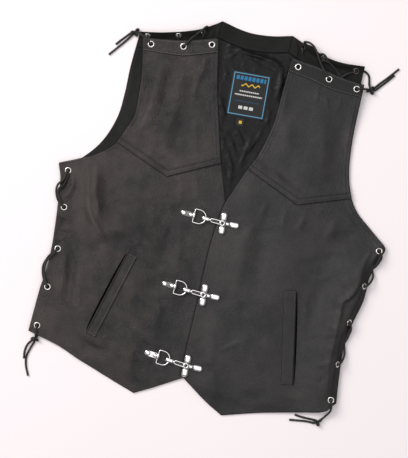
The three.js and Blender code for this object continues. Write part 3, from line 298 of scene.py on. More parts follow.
def curve(rows, steps=24):
    """A dense line on the smooth curve through a table's points."""
    p = np.array(rows, float)
    p = np.vstack([2 * p[0] - p[1], p, 2 * p[-1] - p[-2]])
    t = np.linspace(0, 1, steps, endpoint=False)[:, None]
    spans = []
    for a, b, c, d in zip(p, p[1:], p[2:], p[3:]):
        ab, bc, cd = (max(np.linalg.norm(step) ** 0.5, 1e-4) for step in (b - a, c - b, d - c))
        leave = ((b - a) / ab - (c - a) / (ab + bc) + (c - b) / bc) * bc
        arrive = ((c - b) / bc - (d - b) / (bc + cd) + (d - c) / cd) * bc
        spans.append(
            (2 * t**3 - 3 * t**2 + 1) * b
            + (t**3 - 2 * t**2 + t) * leave
            + (3 * t**2 - 2 * t**3) * c
            + (t**3 - t**2) * arrive
        )
    return np.vstack([*spans, p[-2][None]])


def run_of(line):
    return np.concatenate([[0], np.cumsum(np.linalg.norm(np.diff(line, axis=0), axis=1))])


def along(line, fractions):
    """Points at fractions of a line's length."""
    run = run_of(line)
    where = np.asarray(fractions, float) * run[-1]
    return np.stack([np.interp(where, run, line[:, k]) for k in range(line.shape[1])], -1)


def chain(*tables):
    lines = [curve(t) for t in tables]
    return np.vstack([lines[0], *(line[1:] for line in lines[1:])])


def corners_of(*tables):
    """Fractions of a chain's length at which its tables meet."""
    lengths = [run_of(curve(t))[-1] for t in tables]
    return list(np.cumsum(lengths)[:-1] / sum(lengths))


def stretch(line, start, end):
    return along(line, np.linspace(start, end, 160))


def fraction_at_y(line, y):
    steps = np.linspace(0, 1, 2001)
    return steps[np.argmin(np.abs(along(line, steps)[:, 1] - y))]


EDGE_STEPS = (0, 0.35, 0.9, 1.6, 2.4, 3.2, 4.0, 4.9, 6.0, 7.3, 8.4, 9.6)


def stops(length, pitch, corners=(), low=True, high=True):
    """Fractions of a length, close together near its ends, with each corner kept."""
    steps = [s for s in EDGE_STEPS if s < 0.45 * length]
    first = steps if low else [0]
    last = [length - s for s in reversed(steps)] if high else [length]
    count = max(2, round((last[0] - first[-1]) / pitch))
    made = np.array([*first, *np.linspace(first[-1], last[0], count + 1)[1:-1], *last]) / length
    for corner in corners:
        made[1 + np.argmin(np.abs(made[1:-1] - corner))] = corner
    return made


class Outline:
    """Four borders: bottom and top run left to right, left and right run up."""

    def __init__(self, bottom, top, left, right):
        self.bottom, self.top, self.left, self.right = bottom, top, left, right

    def place(self, across, up):
        """Points between the borders, for each pair of fractions."""
        u, v = np.broadcast_arrays(np.asarray(across, float), np.asarray(up, float))
        bottom, top = along(self.bottom, u.ravel()), along(self.top, u.ravel())
        left, right = along(self.left, v.ravel()), along(self.right, v.ravel())
        a, b = u.ravel()[:, None], v.ravel()[:, None]
        made = bottom * (1 - b) + top * b + left * (1 - a) + right * a
        made -= (1 - a) * (1 - b) * self.bottom[0] + a * (1 - b) * self.bottom[-1]
        made -= (1 - a) * b * self.top[0] + a * b * self.top[-1]
        return made.reshape(*u.shape, 2)

    def grid(self, across, up):
        u, v = np.meshgrid(across, up)
        return self.place(u, v)


BATCH = 4000  # points compared with a line at one time


def near(x, y, line):
    """Distance to a line, the way along it of its nearest point, and the side: above zero on its left."""
    shape = np.shape(x)
    p = np.stack([np.ravel(x), np.ravel(y)], 1)
    line = along(line, np.linspace(0, 1, max(12, int(run_of(line)[-1] / 2.5))))
    run = run_of(line)
    closest = []
    for start in range(0, len(p), BATCH):
        gap = p[start : start + BATCH, None] - line[None]
        closest.append(np.argmin((gap**2).sum(2), 1))
    index = np.clip(np.concatenate(closest), 1, len(line) - 2)
    best = np.full(len(p), 1e9)
    way = np.zeros(len(p))
    side = np.zeros(len(p))
    for a in (index - 1, index):
        step = line[a + 1] - line[a]
        off = p - line[a]
        t = np.clip((off * step).sum(1) / (step**2).sum(1), 0, 1)
        gap = off - step * t[:, None]
        d = np.linalg.norm(gap, axis=1)
        closer = d < best
        best = np.where(closer, d, best)
        way = np.where(closer, run[a] + t * (run[a + 1] - run[a]), way)
        side = np.where(closer, step[:, 0] * off[:, 1] - step[:, 1] * off[:, 0], side)
    return best.reshape(shape), way.reshape(shape), side.reshape(shape)


def patches(x, y, seed):
    """Smooth chance from -1 to 1, about one bump a unit."""
    table = np.random.default_rng(seed).uniform(-1, 1, (64, 64))
    i, j = np.floor(x).astype(int), np.floor(y).astype(int)
    a, b = smooth(x - i), smooth(y - j)
    low = table[i % 64, j % 64] * (1 - a) + table[(i + 1) % 64, j % 64] * a
    high = table[i % 64, (j + 1) % 64] * (1 - a) + table[(i + 1) % 64, (j + 1) % 64] * a
    return low * (1 - b) + high * b


# Heights

SHOULDER_RISE = 6.0
SHOULDER_CURL = 6.0
BACK_RISE = 4.4
HEM_DROP = 2.3
SIDE_RISE = 3.1
RIGHT_CREST = 8.6
OVERLAP_RISE = 2.3
LAP_RISE = FRONT_WALL + 0.7
LOFT = 1.3  # how far the leather stands off where no clasp holds it down
DEEPEST = 0.12  # how far a fold goes below the base
GROOVE = 0.36  # depth of a row of stitches


def shoulder_rise(x, y):
    top = np.where(x < 0, 249 + (x + 186) * 0.23, 258 + (174 - x) * 0.12)
    return SHOULDER_RISE * smooth(1 - (top - y - 16) / 80)


def hem_drop(y):
    return HEM_DROP * smooth((-268 - y) / 26)


def swell(x, y):
    total = np.zeros_like(x)
    for (x0, y0), (x1, y1), high, wide in SWELLS:
        length = math.hypot(x1 - x0, y1 - y0)
        way = ((x - x0) * (x1 - x0) + (y - y0) * (y1 - y0)) / length
        off = ((x - x0) * (y1 - y0) - (y - y0) * (x1 - x0)) / length
        past = np.maximum(0, np.maximum(-way, way - length))
        total += high * np.exp(-(off**2 + past**2) / wide**2)
    return total


def creases(x, y, table):
    total = np.zeros_like(x)
    for rows, high, left, right in table:
        line = curve(rows, 8)
        reach = 3 * max(left, right)
        (x0, y0), (x1, y1) = line.min(0) - reach, line.max(0) + reach
        inside = (x > x0) & (x < x1) & (y > y0) & (y < y1)
        if not inside.any():
            continue
        d, way, side = near(x[inside], y[inside], line)
        share = way / run_of(line)[-1]
        taper = 0.3 + 0.7 * np.sin(np.pi * np.clip(share, 0, 1)) ** 0.8
        wide = np.where(side > 0, left, right)
        total[inside] += high * taper * np.exp(-((d / wide) ** 2))
    return total


def ripples(x, y, seed):
    """Small uneven waves of soft leather, longer along the folds."""
    lean = x + 0.2 * y
    slow = 0.8 * patches(lean / 23 + 7, y / 60 + 3, seed)
    middle = 0.42 * patches(lean / 11 + 2, y / 25 + 9, seed + 1)
    quick = 0.15 * patches(lean / 5.2, y / 8.4, seed + 2)
    return slow + middle + quick


def clear_of_clasps(x, y):
    """Zero under the clasps, one away from them."""
    share = np.ones_like(x)
    for _, (cx, cy), turn in CLASPS:
        a = math.radians(turn)
        way = np.clip((x - cx) * math.cos(a) + (y - cy) * math.sin(a), 0, CLASP_REACH)
        gap = np.hypot(x - cx - way * math.cos(a), y - cy - way * math.sin(a))
        share *= 1 - np.exp(-((gap / 13) ** 4))
    return share


def calm(y):
    """The yokes lie smoother than the fronts."""
    return 1 - 0.2 * smooth((y - 60) / 50)


def left_detail(x, y):
    fade = smooth((-16 - x) / 24) * clear_of_clasps(x, y)
    return (LOFT + (2.3 * creases(x, y, LEFT_CREASES) + 1.4 * ripples(x, y, 11)) * calm(y)) * fade


def right_detail(x, y):
    neck = smooth((y - 50) / 40)
    fade = np.maximum(smooth((x - 14) / 24), neck) * clear_of_clasps(x, y)
    firm = 1.0 + 0.3 * smooth((x - 195) / 20)
    return (LOFT + firm * creases(x, y, RIGHT_CREASES) + 0.26 * ripples(x, y, 31)) * fade


def painted_fold_light(x, y):
    """Painted light: above zero, a painted highlight on the folds' crests; below zero, painted shade in their
    troughs.
    """
    left = (creases(x, y, LEFT_CREASES) + 0.6 * ripples(x, y, 11)) * smooth((-16 - x) / 24)
    return left + 0.5 * creases(x, y, RIGHT_CREASES) * smooth((x - 14) / 24)


def side_rise(from_side, y, wide):
    """What a front rises at its side edge, below the armhole."""
    return SIDE_RISE * smooth(1 - from_side / wide) * smooth((70 - y) / 50)


def stacked(y, *forms):
    """A front's underside: its base, and its forms on that."""
    base = FRONT_BASE - hem_drop(y)
    return np.maximum(sum(forms, base), base - DEEPEST)


def left_height(x, y):
    from_side = x - np.interp(y, *reversed(np.array(LEFT_SIDE, float).T))
    folds = swell(x, y) * smooth((-72 - x) / 26)
    return stacked(y, side_rise(from_side, y, 42), folds, shoulder_rise(x, y), left_detail(x, y))


def right_height(x, y):
    from_side = np.interp(y, *reversed(np.array(RIGHT_SIDE, float).T)) - x
    share = smooth((32 - y) / 70) * (0.55 + 0.45 * smooth((y + 268) / 60))
    crest = RIGHT_CREST * share * smooth((from_side - 0.5) / 10) * smooth((78 - from_side) / 58)
    overlap = OVERLAP_RISE * smooth((78 - x) / 28) * smooth((60 - y) / 30)
    folds = swell(x, y) * smooth((x - 50) / 26)
    side = side_rise(from_side, y, 30)
    return stacked(y, side, crest, overlap, folds, shoulder_rise(x, y), right_detail(x, y))


def lap_rise(x, y, yoke):
    """What a yoke rises where it laps over its front."""
    arm, tip, neck = (yoke[k] for k in ("arm", "tip", "neck"))
    on_arm = np.sign(x - tip[0]) == np.sign(arm[0] - tip[0])
    outer_x, outer_y = np.where(on_arm, arm[0], neck[0]), np.where(on_arm, arm[1], neck[1])
    seam = tip[1] + (outer_y - tip[1]) * (x - tip[0]) / (outer_x - tip[0])
    return LAP_RISE * smooth(1 - (y - seam - YOKE_LAP - 3) / 16)


def back_lift(x, y):
    """The back's shoulders rise to the laces, and curl up beside the neck."""
    top = np.where(x < 0, 257 + (x + 193) * 0.38, 286 + (169 - x) * 0.17)
    whole = BACK_RISE * smooth(1 - (top - y) / 50) * smooth((np.abs(x + 8) - 30) / 35)
    for table, start in ((BACK_LEFT_SHOULDER, -76), (BACK_RIGHT_SHOULDER, 62)):
        d, _, _ = near(x, y, curve(table))
        beside = smooth((start - x) / 16 if start < 0 else (x - start) / 16)
        whole = whole + SHOULDER_CURL * np.clip(1 - d / 11, 0, 1) ** 1.6 * beside
    return whole


def waves(way, seed):
    """Uneven gathers along a seam, from -1 to 1."""
    short = patches(way / 4.6 + seed, way * 0 + seed, 5)
    return 0.6 * short + 0.5 * patches(way / 9.3 + seed, way * 0 + 3.5, 6)


def seam_relief(x, y, line, fold, lift, rows, gather, seed):
    """What a turned, sewn edge adds: its second layer, a groove at each row of stitches, and gathers."""
    d, way, _ = near(x, y, line)
    made = lift * (1 - smooth((d - fold) / 1.8))
    for row in rows:
        made = made - GROOVE * np.exp(-(((d - row) / 0.9) ** 2))
    return made + gather * np.exp(-((d / (fold + 4)) ** 2)) * waves(way, seed)


# Meshes

EDGE_WEAR = 2.2  # reach of the worn edges
RIM_ROUND = 0.3  # share of its wall by which a cloth's rim is rounded


def grid_normals(top):
    n = np.cross(np.gradient(top, axis=1), np.gradient(top, axis=0))
    return n / np.linalg.norm(n, axis=2, keepdims=True)


def quads(index):
    """The four-cornered faces of a grid of point numbers."""
    corners = (index[:-1, :-1], index[:-1, 1:], index[1:, 1:], index[1:, :-1])
    return np.stack(corners, -1).reshape(-1, 4)


def mesh_object(name, points, faces, materials):
    data = bpy.data.meshes.new(name)
    data.from_pydata((np.asarray(points) * MM).tolist(), [], faces)
    data.validate()
    for material in materials:
        data.materials.append(material)
    data.shade_smooth()
    return linked(name, data)


def set_attribute(piece, name, values, kind="FLOAT", field="value"):
    attribute = piece.data.attributes.new(name, kind, "POINT")
    attribute.data.foreach_set(field, np.asarray(values, np.float32).ravel())


def as_mesh(piece):
    """A plain mesh object in the place of a curve, or of a piece with modifiers."""
    graph = bpy.context.evaluated_depsgraph_get()
    data = bpy.data.meshes.new_from_object(piece.evaluated_get(graph))
    name = piece.name
    bpy.data.objects.remove(piece)
    return linked(name, data)


def border_loop(n, m):
    low = [(0, i) for i in range(m)]
    right = [(j, m - 1) for j in range(1, n)]
    high = [(n - 1, i) for i in range(m - 2, -1, -1)]
    left = [(j, 0) for j in range(n - 2, 0, -1)]
    return low + right + high + left


def shell(name, top, wall, material, lowest=0.0, painted_shades=()):
    """A closed sheet of cloth from its upper side, a wall thick, with a soft rim, painted shade along the
    given lines, and painted light on its folds.
    """
    n, m = top.shape[:2]
    area = n * m
    x, y = top[..., 0], top[..., 1]
    loop = border_loop(n, m)
    rim = np.array([top[j, i, :2] for j, i in [*loop, loop[0]]])
    d, _, _ = near(x, y, rim)
    normal = grid_normals(top)
    soft = (RIM_ROUND * wall * (1 - smooth(d / (2 * RIM_ROUND * wall))))[..., None]
    upper = top - normal * soft
    lower = top - normal * (wall - soft)
    lower[..., 2] = np.maximum(lower[..., 2], lowest)
    middle = []
    for j, i in loop:
        out = upper[j, i] - upper[min(max(j, 1), n - 2), min(max(i, 1), m - 2)]
        out[2] = 0
        out /= max(np.linalg.norm(out), 1e-9)
        middle.append((upper[j, i] + lower[j, i]) / 2 + out * RIM_ROUND * wall)
    points = np.vstack([upper.reshape(-1, 3), lower.reshape(-1, 3), middle])
    index = np.arange(area).reshape(n, m)
    top_faces = quads(index)
    faces = [*top_faces.tolist(), *(top_faces[:, [0, 3, 2, 1]] + area).tolist()]
    count = len(loop)
    for k in range(count):
        p, q = int(index[loop[k]]), int(index[loop[(k + 1) % count]])
        s, t = 2 * area + k, 2 * area + (k + 1) % count
        faces += [[p + area, q + area, t, s], [s, t, q, p]]
    made = mesh_object(name, points, faces, [material])
    worn = np.exp(-d / EDGE_WEAR).ravel()
    shade = np.zeros(area)
    for line, depth, wide in painted_shades:
        gap, _, _ = near(x, y, line)
        shade = np.maximum(shade, depth * np.exp(-((gap / wide) ** 2)).ravel())
    inner = np.zeros(area + count)
    set_attribute(made, "edge", np.concatenate([worn, worn, np.ones(count)]))
    # Painted shade along the given lines
    set_attribute(made, "painted_shade", np.concatenate([shade, inner]))
    # Painted light on the folds, which the leather reads as its crest attribute
    set_attribute(made, "crest", np.concatenate([painted_fold_light(x, y).ravel(), inner]))
    return made


class Cloth:
    """A piece's upper side, to set other pieces on it."""

    def __init__(self, top):
        faces = quads(np.arange(top.shape[0] * top.shape[1]).reshape(top.shape[:2]))
        self.tree = BVHTree.FromPolygons(top.reshape(-1, 3).tolist(), faces.tolist())

    def seat(self, x, y):
        """The point and normal of the upper side under a place."""
        point, normal, _, _ = self.tree.ray_cast(Vector((x, y, 100)), Vector((0, 0, -1)))
        if point is None:
            point, normal, _, _ = self.tree.find_nearest(Vector((x, y, 8)))
        return np.array(point), np.array(normal if normal.z > 0 else -normal)


def carried(cloth, places, above):
    """Points above a cloth's upper side at the given places."""
    seats = [cloth.seat(x, y) for x, y in places]
    return np.array([point + normal * above for point, normal in seats])


# Node groups


class Nodes:
    """Adds nodes to a tree and links them."""

    def __init__(self, tree):
        self.tree = tree

    def give(self, value, socket):
        """Links what a node makes to a socket, or sets a plain value there."""
        if isinstance(value, bpy.types.NodeSocket):
            self.tree.links.new(value, socket)
        else:
            socket.default_value = value

    def add(self, kind, values=None, **settings):
        node = self.tree.nodes.new(kind)
        for name, value in settings.items():
            setattr(node, name, value)
        for name, value in (values or {}).items():
            self.give(value, node.inputs[name])
        return node

    def out(self, kind, values=None, **settings):
        return self.add(kind, values, **settings).outputs[0]

    def group(self, group, values):
        return self.add("ShaderNodeGroup", values, node_tree=group).outputs

    def math(self, operation, a, b=0.0, c=0.0):
        return self.out("ShaderNodeMath", {0: a, 1: b, 2: c}, operation=operation)

    def mix(self, share, a, b):
        """A share between two colours."""
        a, b = (v if isinstance(v, bpy.types.NodeSocket) else (*v, 1) for v in (a, b))
        return self.add("ShaderNodeMix", {0: share, 6: a, 7: b}, data_type="RGBA").outputs[2]

    def span(self, value, low, high, to_low=0.0, to_high=1.0):
        return self.out("ShaderNodeMapRange", {0: value, 1: low, 2: high, 3: to_low, 4: to_high})

    def noise(self, place, scale, detail, rough=0.5):
        values = {"Vector": place, "Scale": scale, "Detail": detail, "Roughness": rough}
        return self.out("ShaderNodeTexNoise", values)

    def attribute(self, name):
        return self.add("ShaderNodeAttribute", attribute_name=name, attribute_type="GEOMETRY").outputs["Fac"]


def node_group(name, inputs, outputs, tree="ShaderNodeTree"):
    """An empty node group, its node adder and its sockets by name. A socket has a number or a kind."""
    group = bpy.data.node_groups.new(name, tree)
    for way, sockets in (("INPUT", inputs), ("OUTPUT", outputs)):
        for label, value in sockets.items():
            kind = value if isinstance(value, str) else "Float"
            socket = group.interface.new_socket(label, in_out=way, socket_type=f"NodeSocket{kind}")
            if kind != value:
                socket.default_value = value
    source, sink = group.nodes.new("NodeGroupInput"), group.nodes.new("NodeGroupOutput")
    return group, Nodes(group), source.outputs, sink.inputs


def grain_group():
    """Pebbled leather: its height, its tone, and the gloss of its pebbles. The tone carries painted light: it
    is paler on the left, where the light falls, and darker to the right, and it falls at the shoulders; the
    grain is coarser on the left, as in the picture."""
    group, n, given, made = node_group(
        "leather grain and painted light",
        {"Place": "Vector", "Pebbles": 900.0, "Creasing": 0.5},
        {"Height": "Float", "Tone": "Float", "Gloss": "Float"},
    )
    place = given["Place"]
    drift = n.add("ShaderNodeTexNoise", {"Vector": place, "Scale": 160.0, "Detail": 2.0}).outputs["Color"]
    moved = n.out("ShaderNodeVectorMath", {0: drift, 1: (0.0022, 0.0022, 0.0022)}, operation="MULTIPLY")
    bent = n.out("ShaderNodeVectorMath", {0: place, 1: moved}, operation="ADD")
    cells = n.add("ShaderNodeTexVoronoi", {"Vector": bent, "Scale": given["Pebbles"]}, feature="SMOOTH_F1")
    pebble = cells.outputs["Distance"]
    fine = n.noise(place, 2600.0, 2.0)
    folded = n.math("ABSOLUTE", n.math("SUBTRACT", n.noise(bent, 95.0, 5.0, 0.62), 0.5))
    crease = n.math("MULTIPLY", n.span(folded, 0.0, 0.05, -0.6, 0.0), given["Creasing"])
    wrinkle = n.noise(bent, 300.0, 3.0, 0.6)
    across, up, _ = n.add("ShaderNodeSeparateXYZ", {0: place}).outputs
    drawn = n.math("MULTIPLY", n.span(across, -0.1, 0.03, 6.6, 2.2), given["Creasing"])
    coarse = n.span(across, -0.1, 0.03, 5.0, 1.5)
    bumps = n.math("MULTIPLY", n.math("MULTIPLY_ADD", pebble, -0.4, n.math("MULTIPLY", fine, 0.2)), coarse)
    ridged = n.math("MULTIPLY_ADD", wrinkle, drawn, bumps)
    n.give(n.math("ADD", ridged, crease), made["Height"])
    broad, spots = n.noise(place, 11.0, 3.0, 0.55), n.noise(place, 60.0, 3.0)
    tone = n.math("MULTIPLY_ADD", spots, 0.35, n.math("MULTIPLY", broad, 0.65))
    uneven = n.math("MULTIPLY", n.math("SUBTRACT", tone, 0.5), n.span(across, -0.1, 0.05, 1.6, 0.55))
    # Painted light: paler on the left, where the light falls, darker to the right; then darker at the
    # shoulders
    tone_lit_from_left = n.math("ADD", uneven, n.span(across, -0.2, 0.06, 0.65, 0.41))
    tone_with_painted_light = n.math("ADD", tone_lit_from_left, n.span(up, 0.17, 0.27, 0.0, -0.13))
    n.give(n.span(tone_with_painted_light, 0.34, 0.8), made["Tone"])
    n.give(n.span(pebble, 0.1, 0.7), made["Gloss"])
    return group


def wear_group():
    """Rubbed edges, broken up; the dark of cut edges, which also stands for a painted shadow under an
    overlapping edge; and painted shade.
    """
    group, n, given, made = node_group(
        "edge wear and painted shade", {"Place": "Vector", "Reach": 0.5}, {"Mask": "Float", "Cut": "Float"}
    )
    edge = n.attribute("edge")
    chance = n.noise(given["Place"], 140.0, 4.0)
    worn = n.math("MULTIPLY", n.span(edge, 0.35, 1.0), n.span(chance, 0.35, 0.7))
    n.give(n.math("MULTIPLY", worn, given["Reach"]), made["Mask"])
    # Near black on the cut edge, partly the leather's cut edge, partly a painted shadow line, and wherever
    # shade is painted
    n.give(n.math("MAXIMUM", n.span(edge, 0.86, 1.0), n.attribute("painted_shade")), made["Cut"])
    return group


def weave_group():
    """Over and under threads of a cloth."""
    group, n, given, made = node_group(
        "weave", {"Place": "Vector", "Threads": 1400.0}, {"Height": "Float", "Thread": "Float"}
    )
    apart = n.add("ShaderNodeSeparateXYZ", {0: given["Place"]}).outputs
    turns = n.math("MULTIPLY", given["Threads"], math.pi)
    warp, weft = (n.math("SINE", n.math("MULTIPLY", apart[k], turns)) for k in (0, 1))
    n.give(n.math("MULTIPLY", warp, weft), made["Height"])
    n.give(n.noise(given["Place"], 420.0, 2.0), made["Thread"])
    return group


def bar_group():
    """A woven bar with straight edges: one inside it, zero outside."""
    group, n, given, made = node_group(
        "woven bar",
        {
            "Across": 0.0, "Up": 0.0, "Middle across": 0.3, "Middle up": 0.3,
            "Half width": 0.1, "Half height": 0.02,
        },
        {"Mask": "Float"},
    )
    masks = []
    for way, middle, half in (("Across", "Middle across", "Half width"), ("Up", "Middle up", "Half height")):
        off = n.math("ABSOLUTE", n.math("SUBTRACT", given[way], given[middle]))
        masks.append(n.span(n.math("SUBTRACT", given[half], off), -0.0015, 0.0015))
    n.give(n.math("MULTIPLY", *masks), made["Mask"])
    return group


GRAIN = grain_group()
WEAR = wear_group()
WEAVE = weave_group()
BAR = bar_group()

# Materials


class Surface(Nodes):
    """The nodes of a new material, with its shader's inputs and its Object coordinates."""

    def __init__(self, name):
        self.material = bpy.data.materials.new(name)
        self.material.use_nodes = True
        super().__init__(self.material.node_tree)
        self.shader = next(n for n in self.tree.nodes if n.type == "BSDF_PRINCIPLED").inputs
        self.place = self.add("ShaderNodeTexCoord").outputs["Object"]

    def finish(self, values, relief=None):
        """The material, with its shader's values, and a relief of a strength, a distance and a height."""
        if relief:
            bump = self.out("ShaderNodeBump", dict(zip(("Strength", "Distance", "Height"), relief)))
            values = {**values, "Normal": bump}
        for label, value in values.items():
            self.give(value, self.shader[label])
        return self.material


def leather(name, deep, light, worn, *, rough, pebbles, creasing, bump, shine=0.5):
    """Leather from a deep to a light tone, worn at its edges, with a painted highlight on the crests of its
    folds, painted shade in their troughs and along crevices, and dark cut edges.
    """
    n = Surface(name)
    grain = n.group(GRAIN, {"Place": n.place, "Pebbles": pebbles, "Creasing": creasing})
    wear = n.group(WEAR, {"Place": n.place, "Reach": 0.6})
    # The crest attribute paints a highlight on fold crests and shade in their troughs
    base = n.mix(n.math("MULTIPLY_ADD", n.attribute("crest"), 0.11, grain["Tone"]), deep, light)
    # Near black at the cut edges and where shade is painted
    colour = n.mix(wear["Cut"], n.mix(wear["Mask"], base, worn), (0.003, 0.0028, 0.0028))
    gloss = n.span(grain["Tone"], 0.0, 1.0, rough + 0.06, rough - 0.06)
    dull = n.math("MULTIPLY_ADD", wear["Cut"], 0.4, n.math("MULTIPLY_ADD", grain["Gloss"], 0.08, gloss))
    values = {"Base Color": colour, "Roughness": dull, "Specular IOR Level": shine}
    return n.finish(values, (bump, 0.0005, grain["Height"]))


def satin(name, deep, light, threads):
    """Crinkled satin, black where shade is painted."""
    n = Surface(name)
    weave = n.group(WEAVE, {"Place": n.place, "Threads": threads})
    shade = n.attribute("painted_shade")
    colour = n.mix(shade, n.mix(weave["Thread"], deep, light), (0.0003, 0.0003, 0.0003))
    dull = n.math("MULTIPLY_ADD", shade, 0.6, n.span(weave["Thread"], 0.3, 0.7, 0.3, 0.42))
    height = n.math("MULTIPLY_ADD", weave["Height"], 0.012, n.noise(n.place, 75.0, 4.0, 0.6))
    values = {"Base Color": colour, "Roughness": dull, "Specular IOR Level": 0.19}
    return n.finish(values, (0.55, 0.004, height))


def metal(name, bright, dull, rough):
    """Metal with smudges."""
    n = Surface(name)
    smudge = n.noise(n.place, 240.0, 3.0)
    colour = n.mix(n.span(smudge, 0.4, 0.75), bright, dull)
    dull_share = n.span(smudge, 0.3, 0.8, rough, rough + 0.12)
    values = {"Base Color": colour, "Roughness": dull_share, "Metallic": 1.0}
    return n.finish(values, (0.06, 0.0001, n.noise(n.place, 1500.0, 2.0)))


def thread(name, colour, rough):
    """Twisted thread."""
    n = Surface(name)
    twist = n.noise(n.place, 3800.0, 2.0)
    values = {"Base Color": n.mix(twist, colour, [1.8 * c for c in colour]), "Roughness": rough}
    return n.finish(values, (0.5, 0.0001, twist))


LEATHER = leather(
    "leather", (0.0066, 0.0068, 0.0078), (0.0462, 0.0371, 0.0347), (0.05, 0.043, 0.04),
    rough=0.39, pebbles=900, creasing=0.5, bump=0.8, shine=0.39,
)
# The leather's inner side, for the back, its bands and the neck facing: darker, partly its own tone, partly
# painted shade
SHADED_INNER_LEATHER = leather(
    "inner leather with painted shade", (0.0036, 0.004, 0.0036), (0.0075, 0.008, 0.0074), (0.018, 0.018, 0.017),
    rough=0.58, pebbles=1100, creasing=0.3, bump=0.4, shine=0.24,
)
THONG = leather(
    "lace leather", (0.008, 0.0072, 0.007), (0.014, 0.0125, 0.0115), (0.02, 0.018, 0.017),
    rough=0.5, pebbles=2400, creasing=0.1, bump=0.5,
)
SATIN = satin("satin lining", (0.0012, 0.0012, 0.0014), (0.0036, 0.0036, 0.004), 1500)
CHROME = metal("chrome", (0.8, 0.765, 0.775), (0.62, 0.59, 0.6), 0.06)
# Darker chrome: painted shade on the clasps' plates, the gate and the plates round the cross
SHADED_CHROME = metal("chrome with painted shade", (0.17, 0.165, 0.165), (0.07, 0.068, 0.068), 0.16)
NICKEL = metal("eyelet nickel", (0.72, 0.71, 0.68), (0.5, 0.485, 0.46), 0.2)
# Back eyelets: duller back-side metal, darkened further as painted shade; the last is near black, painted
# shade where a fold covers it
SHADED_BACK_NICKEL = metal("eyelet back", (0.16, 0.155, 0.15), (0.07, 0.068, 0.065), 0.3)
SHADE_PAINTED_NICKEL = metal("shaded eyelet", (0.022, 0.021, 0.021), (0.012, 0.012, 0.012), 0.5)
THREAD = thread("black thread", (0.009, 0.0088, 0.009), 0.5)
# Pale thread: a painted highlight along the band seams and the left welt, where their folded edges catch the
# light
HIGHLIT_THREAD = thread("thread with painted highlight", (0.13, 0.122, 0.118), 0.45)


# Panels

SIDES = ("left", "right")
BORDERS = {
    "left": {
        "hems": (LEFT_HEM_OUTER, LEFT_HEM_INNER), "side": LEFT_SIDE, "arm": curve(LEFT_ARMHOLE),
        "centre": curve(LEFT_CENTRE), "shoulder": curve(LEFT_SHOULDER), "yoke": LEFT_YOKE,
        "height": left_height,
    },
    "right": {
        "hems": (RIGHT_HEM_INNER, RIGHT_HEM_OUTER), "side": RIGHT_SIDE, "arm": curve(RIGHT_ARMHOLE),
        "centre": curve(RIGHT_CENTRE), "shoulder": curve(RIGHT_SHOULDER), "yoke": RIGHT_YOKE,
        "height": right_height,
    },
}


def straight(*points):
    """A line of straight runs through the given points."""
    p = np.array(points, float)
    share = np.linspace(0, 1, 60, endpoint=False)[:, None]
    return np.vstack([*(a + (b - a) * share for a, b in zip(p, p[1:])), p[-1:]])


def tip_of(line, tip):
    """The fraction of a line's length at its point nearest to a tip."""
    d = np.linalg.norm(line - np.array(tip), axis=1)
    run = run_of(line)
    return run[np.argmin(d)] / run[-1]


ARMPIT_ROUND = 7.0


def rounded(line, corner, reach):
    """The line with a rounded corner, from a reach before it to a reach past it."""
    far = np.linalg.norm(line - np.array(corner), axis=1) > reach
    first = np.argmin(far) - 1
    last = len(far) - np.argmin(far[::-1])
    t = np.linspace(0, 1, 12)[:, None]
    bend = (1 - t) ** 2 * line[first] + 2 * t * (1 - t) * np.array(corner) + t**2 * line[last]
    return np.vstack([line[:first], bend, line[last + 1 :]])


def front(side):
    """Outlines of a front and its yoke, from its borders and the yoke's V."""
    spec = BORDERS[side]
    arm, centre, yoke = spec["arm"], spec["centre"], spec["yoke"]
    arm_seam, neck_seam = fraction_at_y(arm, yoke["arm"][1]), fraction_at_y(centre, yoke["neck"][1])
    arm_lap = fraction_at_y(arm, yoke["arm"][1] + YOKE_LAP)
    neck_lap = fraction_at_y(centre, yoke["neck"][1] + YOKE_LAP)
    outer = np.vstack([curve(spec["side"]), stretch(arm, 0, arm_lap)[1:]])
    if side == "right":
        outer = rounded(outer, spec["side"][-1], ARMPIT_ROUND)
    lap_tip = (yoke["tip"][0], yoke["tip"][1] + YOKE_LAP)
    rows = []
    for tip, at_arm, at_neck in ((yoke["tip"], arm_seam, neck_seam), (lap_tip, arm_lap, neck_lap)):
        ends = [along(arm, [at_arm])[0], along(centre, [at_neck])[0]]
        rows.append(straight(*in_order(side, ends[0], tip, ends[1])))
    seam, lap = rows
    body_sides = in_order(side, outer, stretch(centre, 0, neck_lap))
    yoke_sides = in_order(side, stretch(arm, arm_seam, 1), stretch(centre, neck_seam, 1))
    body = Outline(chain(*spec["hems"]), lap, *body_sides)
    return body, Outline(seam, spec["shoulder"], *yoke_sides)


def in_order(side, *things):
    """Things named from the outside in, put from left to right."""
    return things if side == "left" else things[::-1]


bodies, yokes = {}, {}
for side in SIDES:
    bodies[side], yokes[side] = front(side)
back_outline = Outline(
    chain(BACK_HEM),
    chain(BACK_LEFT_SHOULDER, BACK_NECK, BACK_RIGHT_SHOULDER),
    chain(BACK_LEFT_SIDE, BACK_LEFT_ARMHOLE),
    chain(BACK_RIGHT_SIDE, BACK_RIGHT_ARMHOLE),
)

BODY_PITCH = 2.6
YOKE_PITCH = 2.5
BAND_PITCH = 2.5
# Rough widths and heights, for the spacing of the grids
FRONT_SPAN = (270, 330)
YOKE_SPAN = (150, 190)
BAND_SPAN = (150, 22)
BACK_SPAN = (505, 540)
LINING_SPAN = (390, 470)
FACING_SPAN = (120, 24)
BACK_BAND_LENGTH = 145
BACK_PITCH = 3.6
BAND_FROM = 0.89  # share of a yoke's height where its shoulder band starts
BACK_BAND_FROM = 0.955
EDGE_FOLD = 7.0
EDGE_ROW = 4.6
YOKE_ROWS = (1.8, 8.4)


def between(low, high, steps):
    return low + (high - low) * steps


